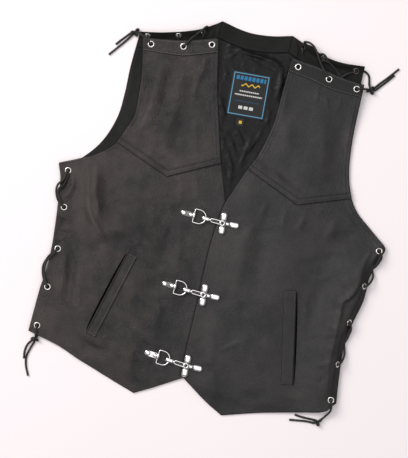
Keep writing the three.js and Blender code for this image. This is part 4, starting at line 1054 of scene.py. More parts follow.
def edge_spec(line, gather=0.3, lift=0.2, rows=(EDGE_ROW,)):
    return (line, EDGE_FOLD, lift, rows, gather)


def sewn(xy, z, specs, seed, step):
    """Heights with the relief of each sewn edge."""
    for k, spec in enumerate(specs):
        z = z + seam_relief(xy[..., 0], xy[..., 1], *spec, seed + step * k)
    return z


def front_top(side):
    """Upper side of a front, with its sewn edges."""
    outline, spec = bodies[side], BORDERS[side]
    tip = spec["yoke"]["tip"]
    lap_corner = tip_of(outline.top, (tip[0], tip[1] + YOKE_LAP))
    across = stops(FRONT_SPAN[0], BODY_PITCH, corners_of(*spec["hems"]))
    across[1 + np.argmin(np.abs(across[1:-1] - lap_corner))] = lap_corner
    xy = outline.grid(across, stops(FRONT_SPAN[1], BODY_PITCH, high=False))
    outer, inner = in_order(side, outline.left, outline.right)
    specs = [
        edge_spec(outline.bottom, 0.12, 0.0, ()),
        edge_spec(outer, 0.4),
        edge_spec(inner, 0.05, 0.1 if side == "left" else 0.0, ()),
    ]
    z = sewn(xy, spec["height"](xy[..., 0], xy[..., 1]) + FRONT_WALL, specs, 3, 7)
    seam_d, way, _ = near(xy[..., 0], xy[..., 1], yokes[side].bottom)
    return np.dstack([xy, z + 0.3 * np.exp(-((seam_d / 8) ** 2)) * waves(way, 41)])


def yoke_height(side, xy):
    spec = BORDERS[side]
    x, y = xy[..., 0], xy[..., 1]
    return spec["height"](x, y) + lap_rise(x, y, spec["yoke"]) + FRONT_WALL


def yoke_top(side):
    """Upper side of a yoke, with its sewn edges."""
    outline = yokes[side]
    across = stops(YOKE_SPAN[0], YOKE_PITCH, [tip_of(outline.bottom, BORDERS[side]["yoke"]["tip"])])
    xy = outline.grid(across, stops(YOKE_SPAN[1], YOKE_PITCH))
    edges = [edge_spec(line, 0.15, 0.3) for line in (outline.left, outline.right)]
    specs = [(outline.bottom, 9.5, 0.3, YOKE_ROWS, 0.3), *edges]
    return np.dstack([xy, sewn(xy, yoke_height(side, xy), specs, 13, 5)])


def band_top(side):
    """Upper side of a shoulder band, on its yoke."""
    outline = yokes[side]
    up = between(BAND_FROM, 1, stops(BAND_SPAN[1], YOKE_PITCH))
    xy = outline.grid(stops(BAND_SPAN[0], YOKE_PITCH), up)
    low = outline.place(np.linspace(0, 1, 90), BAND_FROM)
    specs = [(low, 3.5, 0.15, (1.8,), 0.25), (outline.top, 3.5, 0.15, (2.2,), 0.25)]
    return np.dstack([xy, sewn(xy, yoke_height(side, xy) + 0.3 + AIR + BAND_WALL, specs, 23, 5)])


def inside_line(line, inset, towards, start=0.0, end=1.0):
    """A line moved in by an inset: to its left when towards is 1, to its right when -1."""
    p = along(line, np.linspace(start, end, max(8, int(run_of(line)[-1] / 3))))
    step = np.gradient(p, axis=0)
    step /= np.linalg.norm(step, axis=1, keepdims=True)
    return p + inset * towards * np.stack([-step[:, 1], step[:, 0]], 1)


BACK_CREASES = [
    ([(-192, 210), (-188, 170), (-190, 130)], 0.8, 5, 4),
    ([(-206, 96), (-196, 84), (-184, 78)], 0.9, 4, 3),
    ([(-214, 80), (-205, 68), (-196, 62)], 0.8, 4, 3),
    ([(-190, 108), (-182, 98), (-174, 96)], 0.8, 3.4, 3),
    ([(110, 284), (120, 272), (128, 262)], 0.8, 4, 3),
    ([(62, 300), (70, 288), (74, 276)], 0.8, 4, 3),
]


def back_surface(across, up, above, creasing):
    """Upper side of a cloth on the back, above its underside, with its creases."""
    xy = back_outline.grid(across, up)
    x, y = xy[..., 0], xy[..., 1]
    return np.dstack([x, y, back_lift(x, y) + above + np.maximum(creasing(x, y), 0)])


def outer_strip(x, y):
    """The back's armhole edge shows past the fronts: it curls up a little there."""
    made = np.zeros_like(x)
    for line in (curve(BACK_LEFT_ARMHOLE), curve(BACK_RIGHT_ARMHOLE)):
        d, way, _ = near(x, y, line)
        made += 0.7 * np.exp(-((d / 6) ** 2)) * smooth((240 - y) / 40) * smooth((y - 30) / 40)
        made += 0.25 * np.exp(-((d / 9) ** 2)) * (1 + waves(way, 17)) * smooth((245 - y) / 30)
    return made + creases(x, y, BACK_CREASES) * smooth((248 - y) / 20)


def lining_detail(x, y):
    opening = smooth((y - 20) / 40)
    folds = 1.9 * creases(x, y, LINING_CREASES)
    slow = 0.8 * patches(x / 16 + 4, y / 21 + 6, 71) + 0.7 * patches(x / 7, y / 9, 72)
    return (folds + slow * smooth((y - 60) / 60)) * opening * smooth((62 - np.abs(x)) / 16)


def facing_detail(x, y):
    return 0.3 + 0.3 * patches(x / 17, y / 19, 81)


SHOULDER_FOLDS = [
    ([(50, 304), (57, 288), (59, 268)], 2.0, 3.4, 2.4),
    ([(60, 303), (74, 296), (92, 289)], 1.6, 2.6, 3.0),
    ([(64, 290), (78, 282), (96, 276)], 1.4, 3.0, 2.4),
    ([(88, 284), (96, 274), (104, 266)], 1.1, 2.6, 2.6),
    ([(118, 281), (132, 280), (148, 283)], 1.1, 3.0, 3.4),
    ([(122, 272), (134, 268), (146, 264)], 1.2, 3.0, 2.6),
    ([(-180, 264), (-160, 262), (-140, 272)], 1.1, 3.0, 2.6),
    ([(-120, 276), (-108, 276), (-92, 290)], 1.2, 3.0, 2.6),
    ([(-84, 296), (-80, 286), (-82, 276)], 1.3, 2.6, 2.4),
]


def shoulder_folds(x, y):
    return creases(x, y, SHOULDER_FOLDS)


NECK = corners_of(BACK_LEFT_SHOULDER, BACK_NECK, BACK_RIGHT_SHOULDER)
FACING = (NECK[0] + 0.002, NECK[1] - 0.002)
FACING_ABOVE = BACK_WALL + AIR + BAND_WALL
facing_across = between(*FACING, stops(FACING_SPAN[0], BAND_PITCH))
facing_up = between(BACK_BAND_FROM, 1, stops(FACING_SPAN[1], BAND_PITCH))
back_band_stops = stops(BACK_BAND_LENGTH, BAND_PITCH)
side_corners = corners_of(BACK_LEFT_SIDE, BACK_LEFT_ARMHOLE)
tops = {
    "back": back_surface(
        stops(BACK_SPAN[0], BACK_PITCH, NECK), stops(BACK_SPAN[1], BACK_PITCH, side_corners),
        BACK_WALL, outer_strip,
    ),
    "lining": back_surface(
        between(0.12, 0.89, stops(LINING_SPAN[0], 3.0)), between(0.0735, 0.953, stops(LINING_SPAN[1], 2.8)),
        BACK_WALL + AIR + LINING_WALL, lining_detail,
    ),
    "facing": back_surface(facing_across, facing_up, FACING_ABOVE, facing_detail),
    "back_band_left": back_surface(NECK[0] * back_band_stops, facing_up, FACING_ABOVE, shoulder_folds),
    "back_band_right": back_surface(
        between(NECK[1], 1, back_band_stops), facing_up, FACING_ABOVE, shoulder_folds
    ),
}
for side in SIDES:
    tops[f"front_{side}"] = front_top(side)
    tops[f"yoke_{side}"] = yoke_top(side)
    tops[f"band_{side}"] = band_top(side)
cloths = {name: Cloth(top) for name, top in tops.items()}

# Pockets: a slanted welt beside a mouth cut in the front

WELTS = {
    "left": {"top": (-122, -91), "bottom": (-157.5, -231.5), "wide": 17.5, "mouth": -1},
    "right": {"top": (137, -88.5), "bottom": (167.5, -236), "wide": 20, "mouth": 1},
}
MOUTH_WIDE = {"left": 3.4, "right": 2.6}
MOUTH_MARGIN = 1.5
WELT_RIDGE = 1.6  # height of the ridge beside the mouth


def welt_frame(spec):
    """A welt's lower end, its length, and its directions along and towards its mouth."""
    start = np.array(spec["bottom"], float)
    way = np.array(spec["top"], float) - start
    length = np.linalg.norm(way)
    way /= length
    return start, length, way, np.array([way[1], -way[0]]) * spec["mouth"]


def welt_top(spec, cloth):
    """Upper side of a welt on its front, with a ridge beside the mouth."""
    start, length, way, out = welt_frame(spec)
    half = spec["wide"] / 2
    sides = half * (2 * stops(spec["wide"], 2.0) - 1)
    if spec["mouth"] < 0:
        sides = -sides
    rows = length * stops(length, 3.0)
    top = np.zeros((len(rows), len(sides), 3))
    for j, s in enumerate(rows):
        for i, t in enumerate(sides):
            x, y = start + way * s + out * t
            point, normal = cloth.seat(x, y)
            ridge = WELT_RIDGE * math.exp(-((t - half + 1.4) ** 2))
            crown = 0.4 * (1 - (abs(t) / half) ** 4) + ridge
            top[j, i] = point + normal * (AIR + 0.1 + BAND_WALL + crown)
    return top


def mouth_line(side):
    """The line that the pocket's mouth follows, over the lining."""
    start, length, way, out = welt_frame(WELTS[side])
    return start + way * np.linspace(0, length, 40)[:, None] + out * (WELTS[side]["wide"] / 2 + 1.5)


def mouth_cutter(side):
    """A slim lens that cuts the pocket's mouth."""
    spec = WELTS[side]
    start, length, way, out = welt_frame(spec)
    inner = spec["wide"] / 2 + 0.35
    s = np.linspace(MOUTH_MARGIN, length - MOUTH_MARGIN, 24)
    bulge = MOUTH_WIDE[side] * np.sin(np.pi * np.linspace(0, 1, 24)) ** 0.4
    near_side = start + way * s[:, None] + out * inner
    far_side = near_side + out * np.maximum(bulge, 0.3)[:, None]
    return np.vstack([near_side, far_side[::-1]])


def prism(rings, low=-6, high=40):
    """One mesh of upright prisms on closed outlines, as points and faces."""
    points, faces = [], []
    for ring in rings:
        if np.sum(ring[:, 0] * np.roll(ring[:, 1], -1) - np.roll(ring[:, 0], -1) * ring[:, 1]) < 0:
            ring = ring[::-1]
        start, count = len(points), len(ring)
        points += [(x, y, low) for x, y in ring] + [(x, y, high) for x, y in ring]
        faces.append([start + k for k in reversed(range(count))])
        faces.append([start + count + k for k in range(count)])
        for k in range(count):
            a, b = start + k, start + (k + 1) % count
            faces.append([a, b, b + count, a + count])
    return points, faces


def circle(centre, radius, count=28):
    a = np.linspace(0, 2 * np.pi, count, endpoint=False)
    return np.array(centre) + radius * np.stack([np.cos(a), np.sin(a)], 1)


def cut_through(piece, rings):
    """The piece with upright holes."""
    cutter = mesh_object("cutter", *prism(rings), [])
    boolean = piece.modifiers.new("holes", "BOOLEAN")
    boolean.operation = "DIFFERENCE"
    boolean.solver = "EXACT"
    boolean.object = cutter
    made = as_mesh(piece)
    bpy.data.objects.remove(cutter)
    return made


def holes(places):
    return [circle(p, EYELET_HOLE) for p in places]


def finish_piece(piece, slot, *nodes):
    if piece.type == "MESH":
        piece.data.set_sharp_from_angle(angle=math.radians(50))
    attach(piece, "root")
    if nodes:
        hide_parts(*nodes)


def cloth_piece(
    name, top, node, wall=BAND_WALL, material=LEATHER, slot="leather",
    rings=(), lowest=0.0, painted_shades=(),
):
    """One cloth of the vest, with its holes, as a laid sheet."""
    piece = shell(name, tops[top], wall, material, lowest, painted_shades)
    if rings:
        piece = cut_through(piece, rings)
    finish_piece(piece, slot, node)


cloth_piece(
    "back_panel", "back", "back", BACK_WALL, SHADED_INNER_LEATHER,
    rings=holes([*BACK_EYELETS["left"], *BACK_EYELETS["right"]]),
)
# Painted shade: the lining is black under the pockets' mouths
cloth_piece(
    "lining_panel", "lining", "back_lining",
    LINING_WALL, SATIN, "lining", lowest=BACK_WALL + 0.1,
    painted_shades=[(mouth_line(side), 1.0, 7.0) for side in SIDES],
)
cloth_piece(
    "neck_facing_strip", "facing", "neck_facing",
    material=SHADED_INNER_LEATHER, lowest=BACK_WALL + 0.1,
)
for side in SIDES:
    cloth_piece(
        f"back_shoulder_band_{side}", f"back_band_{side}", f"back_band_{side}",
        material=SHADED_INNER_LEATHER, rings=holes(BACK_EYELETS[side]),
    )
# Painted shade: a dark line on the left front beside the right front's edge, lines along the yoke seams, and
# a darker band inside the right side
front_painted_shades = {
    "left": [(bodies["right"].left, 1.0, 2.1), (yokes["left"].bottom, 1.0, 1.5)],
    "right": [
        (yokes["right"].bottom, 1.0, 1.5),
        (inside_line(curve(RIGHT_SIDE), 10, 1, 0.03, 0.86), 0.62, 9.0),
    ],
}
for side in SIDES:
    cloth_piece(
        f"front_{side}_panel", f"front_{side}", f"front_{side}",
        FRONT_WALL, rings=[*holes(SIDE_EYELETS[side]), mouth_cutter(side)],
        lowest=0.3, painted_shades=front_painted_shades[side],
    )
for side in SIDES:
    cloth_piece(
        f"yoke_{side}_panel", f"yoke_{side}", f"yoke_{side}",
        FRONT_WALL, rings=holes(SHOULDER_EYELETS[side]),
        # painted shade along the yoke's second row of stitches
        painted_shades=[(inside_line(yokes[side].bottom, YOKE_ROWS[1], 1), 0.6, 1.0)],
    )
# Painted shade on the right shoulder band
right_shade = (yokes["right"].top, 0.35, 40.0)  # the right band is the darker one
for side in SIDES:
    cloth_piece(
        f"front_shoulder_band_{side}", f"band_{side}", f"front_band_{side}",
        rings=holes(SHOULDER_EYELETS[side]), painted_shades=[right_shade],
    )
for side in SIDES:
    tops[f"welt_{side}"] = welt_top(WELTS[side], cloths[f"front_{side}"])
    cloth_piece(
        f"pocket_welt_{side}", f"welt_{side}", f"welt_{side}"
    )

# Laces: thongs through the eyelets, a knot, and two free ends

THONG_RADIUS = 1.7
FLOOR = LACE / 2 + 0.2
INSIDE = BACK_WALL + LACE / 2 + 0.3
OVER = LACE / 2 + 0.3 + EYELET_CAP + 0.2  # above a cloth, clear of the eyelets' rims
PASS_ABOVE, PASS_BELOW = 2.9, 1.7  # how far a lace stands out of an eyelet before it turns
# Each cloth's eyelets, and how thick the layers under their rims are
EYELETS = {}
for side in SIDES:
    EYELETS[f"front_{side}"] = (SIDE_EYELETS[side], FRONT_WALL)
    EYELETS[f"band_{side}"] = (SHOULDER_EYELETS[side], FRONT_WALL + AIR + BAND_WALL)
    EYELETS[f"back_band_{side}"] = (BACK_EYELETS[side], BACK_WALL + AIR + BAND_WALL)
KNOTS = {
    "side_left": ((-242.0, -257.5, 4.6), 0.9),
    "side_right": ((229, -283, 4.6), 0.3),
    "shoulder_left": ((-200.5, 256.0, 4.6), 0.6),
    "shoulder_right": ((188.0, 253.0, 4.6), 0.8),
}
TAILS = {
    "side_left_1": [(-246.9, -262.6, 2.4), (-252, -270, FLOOR), (-254.4, -281, FLOOR), (-252.8, -294, FLOOR)],
    "side_left_2": [
        (-243.0, -265.3, 2.6), (-246.5, -275.5, FLOOR), (-249.6, -290, FLOOR),
        (-247.5, -303, FLOOR), (-240, -319.5, FLOOR),
    ],
    "side_right_1": [(223.6, -281.4, 2.6), (213, -281.6, FLOOR), (202, -281.6, FLOOR), (191, -280.6, FLOOR)],
    "side_right_2": [(223.6, -286.6, 2.4), (212, -286.6, FLOOR), (199, -288.2, FLOOR), (184, -290.5, FLOOR)],
    "shoulder_left_1": [(-208.2, 252.8, 2.6), (-214, 246, FLOOR), (-220.5, 238.5, FLOOR), (-227, 230, FLOOR)],
    "shoulder_left_2": [(-204.9, 250.6, 2.6), (-212, 240, FLOOR), (-222, 227, FLOOR), (-234, 211.5, FLOOR)],
    "shoulder_right_1": [(192.4, 258.2, 2.6), (200, 268, FLOOR), (210, 279.5, FLOOR), (224, 297.5, FLOOR)],
    "shoulder_right_2": [(195, 255.2, 2.6), (202.5, 264.5, FLOOR), (210, 273.5, FLOOR), (219.5, 286, FLOOR)],
}


def strand(*rows):
    """Points of a lace. A word names the cloth it is on, two numbers lie over that cloth, three are free,
    and one passes through that cloth's eyelet: up, or down when it is below zero."""
    made = []
    for row in rows:
        if isinstance(row, str):
            cloth = cloths[row]
            eyelets, stack = EYELETS[row]
        elif isinstance(row, int):
            point, normal = cloth.seat(*eyelets[abs(row) - 1])
            passed = [tuple(point + normal * s) for s in (PASS_ABOVE, -stack / 2, -stack - PASS_BELOW)]
            made += passed[::-1] if row > 0 else passed
        elif len(row) == 2:
            point, normal = cloth.seat(*row)
            made.append(tuple(point + normal * OVER))
        else:
            made.append(row)
    return made


def under_front(side, number):
    """A strand that comes up through a back eyelet and goes under the front's shoulder."""
    x, y = BACK_EYELETS[side][number - 1]
    low, inside, _, *rest = strand(f"back_band_{side}", number, (x + 0.4, y - 1.6), (x + 1.4, y - 7))
    return [(x - 1, y + 4, 2.2), low, inside, *rest]


# Each lace's visible runs are double, as two thongs side by side
ROUTES = {
    "side_left": [
        strand(
            "front_left", (-238, 22, INSIDE + 0.2), (-246, 20, INSIDE + 0.2), 1,
            (-251.8, 9), (-254.2, 0), (-257, -8.5), (-260.6, -16, 10.2), (-260.2, -24, 9.6), (-255.6, -31.5),
            (-250.3, -38), -2, (-244.5, -52, INSIDE), (-241.5, -76, INSIDE), (-240.5, -101, INSIDE), 3,
            (-243.2, -116.5), (-247.6, -124.5), (-252.6, -133, 9.6), (-254.0, -142, 8.2), (-252.4, -152, 8.8),
            (-248.2, -162), -4, (-242.5, -182, INSIDE), (-243, -205, INSIDE), (-243.5, -228, INSIDE), 5,
            (-243.0, -245), (-242.6, -251.6, 8.6),
        ),
        strand(
            "front_left", (-250, 15, INSIDE + 0.2), (-252.2, 15.2, 5.0), (-254.6, 13, 11.4), (-256.0, 7),
            (-258.6, -1), (-263.4, -9, 9.4), (-265.0, -17, 7.2), (-263.2, -25, 7.0), (-258.8, -33, 10.6),
            (-253.0, -39.5), (-247.6, -42.6, 10.4), (-245.4, -43.4, 5.0),
        ),
        strand(
            "front_left", (-240, -108.6, 5.0), (-241.2, -111.6, 11.6), (-245.6, -116), (-250.6, -123.5, 10.2),
            (-254.2, -131, 6.8), (-257.0, -141, 5.8), (-255.4, -152, 6.4), (-250.6, -162.5, 10.2),
            (-244, -171.8, 11.4), (-242.2, -173.4, 5.0),
        ),
    ],
    "side_right": [
        strand(
            "front_right", (246, 14, INSIDE + 0.2), (253, 11, INSIDE + 0.2), 1,
            (262.6, 0.2), (260.8, -9.4), (259.4, -17, 9.8), (256.6, -23, 6.4), (258.0, -28.5, 5.8),
            (260.6, -35, 6.6), (259.4, -43, 9.2), (256.0, -49.6, 11.6), -2,
            (243, -64, 6.0), (237, -85, 5.2), (232, -106, 6.0), 3,
            (242.6, -123.5), (243.0, -133, 9.4), (241.6, -142, 8.0), (240.8, -151, 6.6), (243.4, -160, 6.4),
            (245.2, -169, 7.8), (243.2, -178.6, 11.2), -4, (230, -195, 6.0), (229, -214, 5.2),
            (231, -233, 6.0), 5, (241.8, -252.5), (243.5, -261, 11.4), (238.5, -271, 6.0),
        ),
        [
            (260.4, 5, 5.2), (262.4, 3.4, 12.4), (266.0, -2.4, 11.4), (264.4, -11.6, 8.4),
            (260.0, -20.5, 6.2), (256.2, -25, 4.6), (253.6, -30, 3.4),
        ],
        [
            (240, -117, 5.2), (242.2, -118.6, 12.0), (245.8, -126, 9.0), (244.6, -136, 7.0),
            (242.4, -146, 5.6), (239.2, -153, 3.6),
        ],
    ],
    "shoulder_left": [
        strand(
            (-98, 284, 2.2), (-92.6, 289.4, 3.6), (-90.6, 291.2, 8.6), (-93.0, 288.6, 13.0),
            "back_band_left", (-98.5, 283.6), (-105.0, 276.5), (-109.6, 267.6, 13.6),
            "band_left", (-114.4, 260.4), -2, (-134, 246.5, 7.2), (-157, 243.5, 7.2), 1,
            (-177.5, 246.5), (-187, 252, 14.2), (-195.5, 256, 8.6),
        ),
        *(under_front("left", number) for number in (1, 2, 3)),
    ],
    "shoulder_right": [
        strand(
            (186.5, 255.5, 4.8), (183.2, 262, 3.4), (181.6, 269.5, 2.4), (178.4, 276.8, 2.2),
            (171.4, 280.5, 3.4), (166.0, 280.2, 5.2),
            "back_band_right", 1, (152.4, 274.4), (144.4, 269.6, 9.4), (138.2, 263.6, 7.4),
            (134.5, 262.5, 7.0), (126, 270.5, 8.0), (115.6, 278.4, 9.4), (107.6, 282.6), -2,
            (93.6, 290.6, 1.8), (80, 299, 2.2), (72, 300.2, 2.2), (66.6, 303.0, 4.4), (67.2, 303.8, 8.8),
            (74.2, 303.4, 12.2), (81.6, 299.6, 13.4), (88.6, 291.8, 14.4), (95.0, 281.2, 14.6),
            (103.6, 269.0, 14.8),
            "band_right", (111.6, 260.4), -2, (131, 250.5, 7.2), (150, 247.5, 7.2), 1,
            (171, 250.4), (180, 252.6, 11.6), (185.5, 253.4, 6.6),
        ),
        [
            (92.6, 282.4, 4.4), (92.2, 287.0, 6.6), (95.4, 290.0, 11.4), (100.4, 290.4, 13.8),
            (105.0, 287.2, 13.6), (108.6, 282.6, 12.4), (115.8, 278.0, 11.0), (126.0, 271.4, 9.8),
            (134.6, 265.4, 7.6), (139.6, 261.4, 6.8),
        ],
        under_front("right", 3),
    ],
}


def curve_object(name, lines):
    """A curve object of straight runs along lines."""
    data = bpy.data.curves.new(name, "CURVE")
    data.dimensions = "3D"
    for line in lines:
        spline = data.splines.new("POLY")
        spline.points.add(len(line) - 1)
        flat = np.column_stack([np.asarray(line) * MM, np.ones(len(line))])
        spline.points.foreach_set("co", flat.ravel())
        spline.use_smooth = True
    return linked(name, data)


def thongs(name, lines):
    """Round thongs along lines, as one curve object."""
    made = curve_object(name, lines)
    made.data.bevel_depth = THONG_RADIUS * MM
    made.data.bevel_resolution = 3
    made.data.use_fill_caps = True
    made.data.materials.append(THONG)
    return made


def knot_line(centre, turn):
    """A thong wound over itself in a small overhand knot."""
    t = np.linspace(0, 2 * np.pi, 80)
    x = 3.5 * (np.sin(t) + 0.95 * np.sin(2 * t))
    y = 2.9 * (np.cos(t) - 0.95 * np.cos(2 * t))
    z = -2.4 * np.sin(3 * t)
    c, s = math.cos(turn), math.sin(turn)
    return np.stack([centre[0] + c * x - s * y, centre[1] + s * x + c * y, centre[2] + z], 1)


def add_laces():
    for name, (main, *others) in ROUTES.items():
        centre, turn = KNOTS[name]
        strands = ([*main, centre], *others)
        lines = [along(curve(rows, 12), np.linspace(0, 1, 12 * len(rows))) for rows in strands]
        ends = [np.array([centre, rows[0]]) for tail, rows in TAILS.items() if tail.startswith(name)]
        piece = as_mesh(thongs(f"lace_{name}", [*lines, *ends, knot_line(centre, turn)]))
        finish_piece(piece, "lace", f"lacing_{name}")
    for name, rows in TAILS.items():
        line = along(curve(rows), np.linspace(0, 1, 24))
        piece = thongs(f"lace_tail_{name}", [line])
        finish_piece(piece, "lace", f"lace_end_{name}")


add_laces()

# Geometry node trees: eyelets on their places, stitches along their lines


def spread(n, points, instance, turn):
    """Real copies of a form on points."""
    placed = n.out("GeometryNodeInstanceOnPoints", {"Points": points, "Instance": instance, "Rotation": turn})
    return n.out("GeometryNodeRealizeInstances", {"Geometry": placed})


def eyelet_tree():
    """A rolled rim and a barrel on each point, turned to the point's facing."""
    inputs = {
        "Geometry": "Geometry", "Rim radius": 4.05 * MM, "Rim wire": 1.35 * MM, "Bore radius": 2.85 * MM,
        "Barrel height": 3.0 * MM, "Material": "Material",
    }
    tree, n, given, made = node_group("eyelets", inputs, {"Geometry": "Geometry"}, "GeometryNodeTree")

    def hoop(radius, wire_radius, steps):
        ring = n.out("GeometryNodeCurvePrimitiveCircle", {"Resolution": 36, "Radius": radius})
        section = n.out("GeometryNodeCurvePrimitiveCircle", {"Resolution": steps, "Radius": wire_radius})
        return n.out("GeometryNodeCurveToMesh", {"Curve": ring, "Profile Curve": section})

    rim = hoop(given["Rim radius"], given["Rim wire"], 12)
    flat = n.out("GeometryNodeTransform", {"Geometry": rim, "Scale": (1, 1, 0.62)})
    tall = n.math("DIVIDE", given["Barrel height"], 0.6 * MM)
    scale = n.out("ShaderNodeCombineXYZ", {0: 1.0, 1: 1.0, 2: tall})
    shift = n.out("ShaderNodeCombineXYZ", {2: n.math("MULTIPLY", given["Barrel height"], -0.5)})
    tube = hoop(given["Bore radius"], 0.3 * MM, 8)
    barrel = n.out("GeometryNodeTransform", {"Geometry": tube, "Scale": scale, "Translation": shift})
    joined = n.add("GeometryNodeJoinGeometry")
    for part in (flat, barrel):
        n.give(part, joined.inputs[0])
    facing = n.add("GeometryNodeInputNamedAttribute", {"Name": "facing"}, data_type="FLOAT_VECTOR")
    turn = n.out("FunctionNodeAlignRotationToVector", {"Vector": facing.outputs["Attribute"]}, axis="Z")
    real = spread(n, given["Geometry"], joined.outputs[0], turn)
    named = n.out("GeometryNodeSetMaterial", {"Geometry": real, "Material": given["Material"]})
    n.give(named, made["Geometry"])
    return tree


def stitch_tree():
    """A short stitch at every step along each line."""
    inputs = {
        "Geometry": "Geometry", "Pitch": 3.4 * MM, "Stitch length": 2.5 * MM, "Thread width": 0.62 * MM,
        "Material": "Material",
    }
    tree, n, given, made = node_group("stitches", inputs, {"Geometry": "Geometry"}, "GeometryNodeTree")
    values = {"Curve": given["Geometry"], "Length": given["Pitch"]}
    steps = n.add("GeometryNodeCurveToPoints", values, mode="LENGTH").outputs
    bead = n.out("GeometryNodeMeshUVSphere", {"Segments": 6, "Rings": 5, "Radius": 0.5})
    thick = given["Thread width"]
    size = n.out("ShaderNodeCombineXYZ", {0: given["Stitch length"], 1: thick, 2: thick})
    stitch = n.out("GeometryNodeTransform", {"Geometry": bead, "Scale": size})
    turn = n.out("FunctionNodeAlignRotationToVector", {"Vector": steps["Tangent"]}, axis="X")
    real = n.out("GeometryNodeSetShadeSmooth", {"Geometry": spread(n, steps["Points"], stitch, turn)})
    named = n.out("GeometryNodeSetMaterial", {"Geometry": real, "Material": given["Material"]})
    n.give(named, made["Geometry"])
    return tree


EYELET_TREE = eyelet_tree()
STITCH_TREE = stitch_tree()


def grown(piece, tree, **inputs):
    """Runs a node tree on a piece and leaves its result as a plain mesh."""
    modifier = piece.modifiers.new(tree.name, "NODES")
    modifier.node_group = tree
    for item in tree.interface.items_tree:
        label = item.name.replace(" ", "_").lower()
        if item.in_out == "INPUT" and label in inputs:
            modifier[item.identifier] = inputs[label]
    return as_mesh(piece)


def add_eyelets(name, cloth, numbers, node, material=NICKEL, rim=4.3):
    """A cloth's eyelets of the given numbers, as one piece."""
    places, stack = EYELETS[cloth]
    seats = [cloths[cloth].seat(*places[k - 1]) for k in numbers]
    piece = mesh_object(name, [point + normal * 0.35 for point, normal in seats], [], [])
    set_attribute(piece, "facing", [normal for _, normal in seats], "FLOAT_VECTOR", "vector")
    made = grown(
        piece, EYELET_TREE, barrel_height=(stack + 0.9) * MM, material=material,
        rim_radius=rim * MM, rim_wire=(rim - 3.2) * MM, bore_radius=3.1 * MM,
    )
    made.data.shade_smooth()
    finish_piece(made, "eyelet", *(f"{node}_{k}" for k in numbers))


# The back eyelets are in painted shade, the one at the right neck darkest
for side, near_arm, near_neck in (("left", NICKEL, SHADED_BACK_NICKEL), ("right", SHADED_BACK_NICKEL, SHADE_PAINTED_NICKEL)):
    add_eyelets(f"side_eyelets_{side}", f"front_{side}", range(1, 6), f"eyelet_side_{side}")
    add_eyelets(f"shoulder_eyelets_{side}", f"band_{side}", range(1, 4), f"eyelet_shoulder_{side}")
    add_eyelets(f"back_eyelets_{side}", f"back_band_{side}", (1, 2), f"eyelet_back_{side}", near_arm, 4.1)
    add_eyelets(f"back_neck_eyelet_{side}", f"back_band_{side}", (3,), f"eyelet_back_{side}", near_neck, 4.1)

SUNK = -0.05


def add_stitches(name, cloth, lines, material=THREAD):
    """Rows of stitches along lines on a cloth's upper side."""
    curves = curve_object(name, [carried(cloth, line, SUNK) for line in lines])
    finish_piece(grown(curves, STITCH_TREE, material=material), "leather")


def welt_rows(side):
    """A welt's row of stitches along its inner edge, and one across each end."""
    start, length, way, out = welt_frame(WELTS[side])
    half = WELTS[side]["wide"] / 2
    inner_row = (2.6 if side == "left" else 1.5) - half
    rows = [start + way * np.linspace(1.6, length - 1.6, 60)[:, None] + out * inner_row]
    for s in (2.0, length - 2.0):
        rows.append(start + way * s + out * np.linspace(inner_row, half - 0.8, 12)[:, None])
    return rows


def welt_surround(side):
    """Three sides of a row round a welt."""
    start, length, way, out = welt_frame(WELTS[side])
    half = WELTS[side]["wide"] / 2
    off = 3.6
    box = [(-off, half - 2), (-off, -half - off), (length + off, -half - off), (length + off, half - 2)]
    return along(np.array([start + way * s + out * t for s, t in box]), np.linspace(0, 1, 120))


for side in SIDES:
    body, yoke = bodies[side], yokes[side]
    outer, _ = in_order(side, body.left, body.right)
    yoke_outer, yoke_inner = in_order(side, yoke.left, yoke.right)
    out_way = -1 if side == "left" else 1
    front_rows = [
        inside_line(body.bottom, EDGE_ROW, 1, 0.01, 0.99),
        inside_line(outer, EDGE_ROW, out_way, 0.01, 0.975),
    ]
    yoke_rows = [inside_line(yoke.bottom, row, 1, 0.012, 0.988) for row in YOKE_ROWS]
    for line, way in ((yoke_outer, out_way), (yoke_inner, -out_way)):
        yoke_rows.append(inside_line(line, EDGE_ROW, way, 0.02, BAND_FROM - 0.01))
    band_rows = [yoke.place(np.linspace(0.02, 0.98, 60), up) for up in (BAND_FROM + 0.006, 1 - 0.012)]
    add_stitches(f"front_stitches_{side}", cloths[f"front_{side}"], front_rows)
    add_stitches(f"yoke_stitches_{side}", cloths[f"yoke_{side}"], yoke_rows)
    add_stitches(f"band_stitches_{side}", cloths[f"band_{side}"], band_rows, HIGHLIT_THREAD)
    # The left welt's stitches carry the painted highlight
    welt_thread = HIGHLIT_THREAD if side == "left" else THREAD
    add_stitches(f"welt_stitches_{side}", Cloth(tops[f"welt_{side}"]), welt_rows(side), welt_thread)
add_stitches("welt_outline", cloths["front_right"], [welt_surround("right")])

side_ups = np.linspace(0.01, 0.95, 160)
back_rows = [back_outline.place(across, side_ups) for across in (0.011, 0.989)]
back_rows.append(back_outline.place(np.linspace(0.01, 0.99, 160), 0.009))
add_stitches("back_stitches", cloths["back"], back_rows)
for name, cloth, low, high, top_row in (
    ("facing_stitches", "facing", FACING[0] + 0.008, FACING[1] - 0.008, 0.992),
    ("back_band_stitches_left", "back_band_left", 0.008, NECK[0] - 0.008, 0.994),
    ("back_band_stitches_right", "back_band_right", NECK[1] + 0.008, 0.992, 0.994),
):
    rows = [back_outline.place(np.linspace(low, high, 60), up) for up in (top_row, BACK_BAND_FROM + 0.004)]
    add_stitches(name, cloths[cloth], rows)

# Label and size tab, with a plain woven design

LABEL = {"left": -31, "right": 29, "low": 165, "high": 235.5}
LABEL_LEAN = 0.06  # slope of its lower edge
TAB = {"left": -10.2, "right": 2.8, "low": 148.5, "high": 161.5}
WOVEN_WALL = 1.0


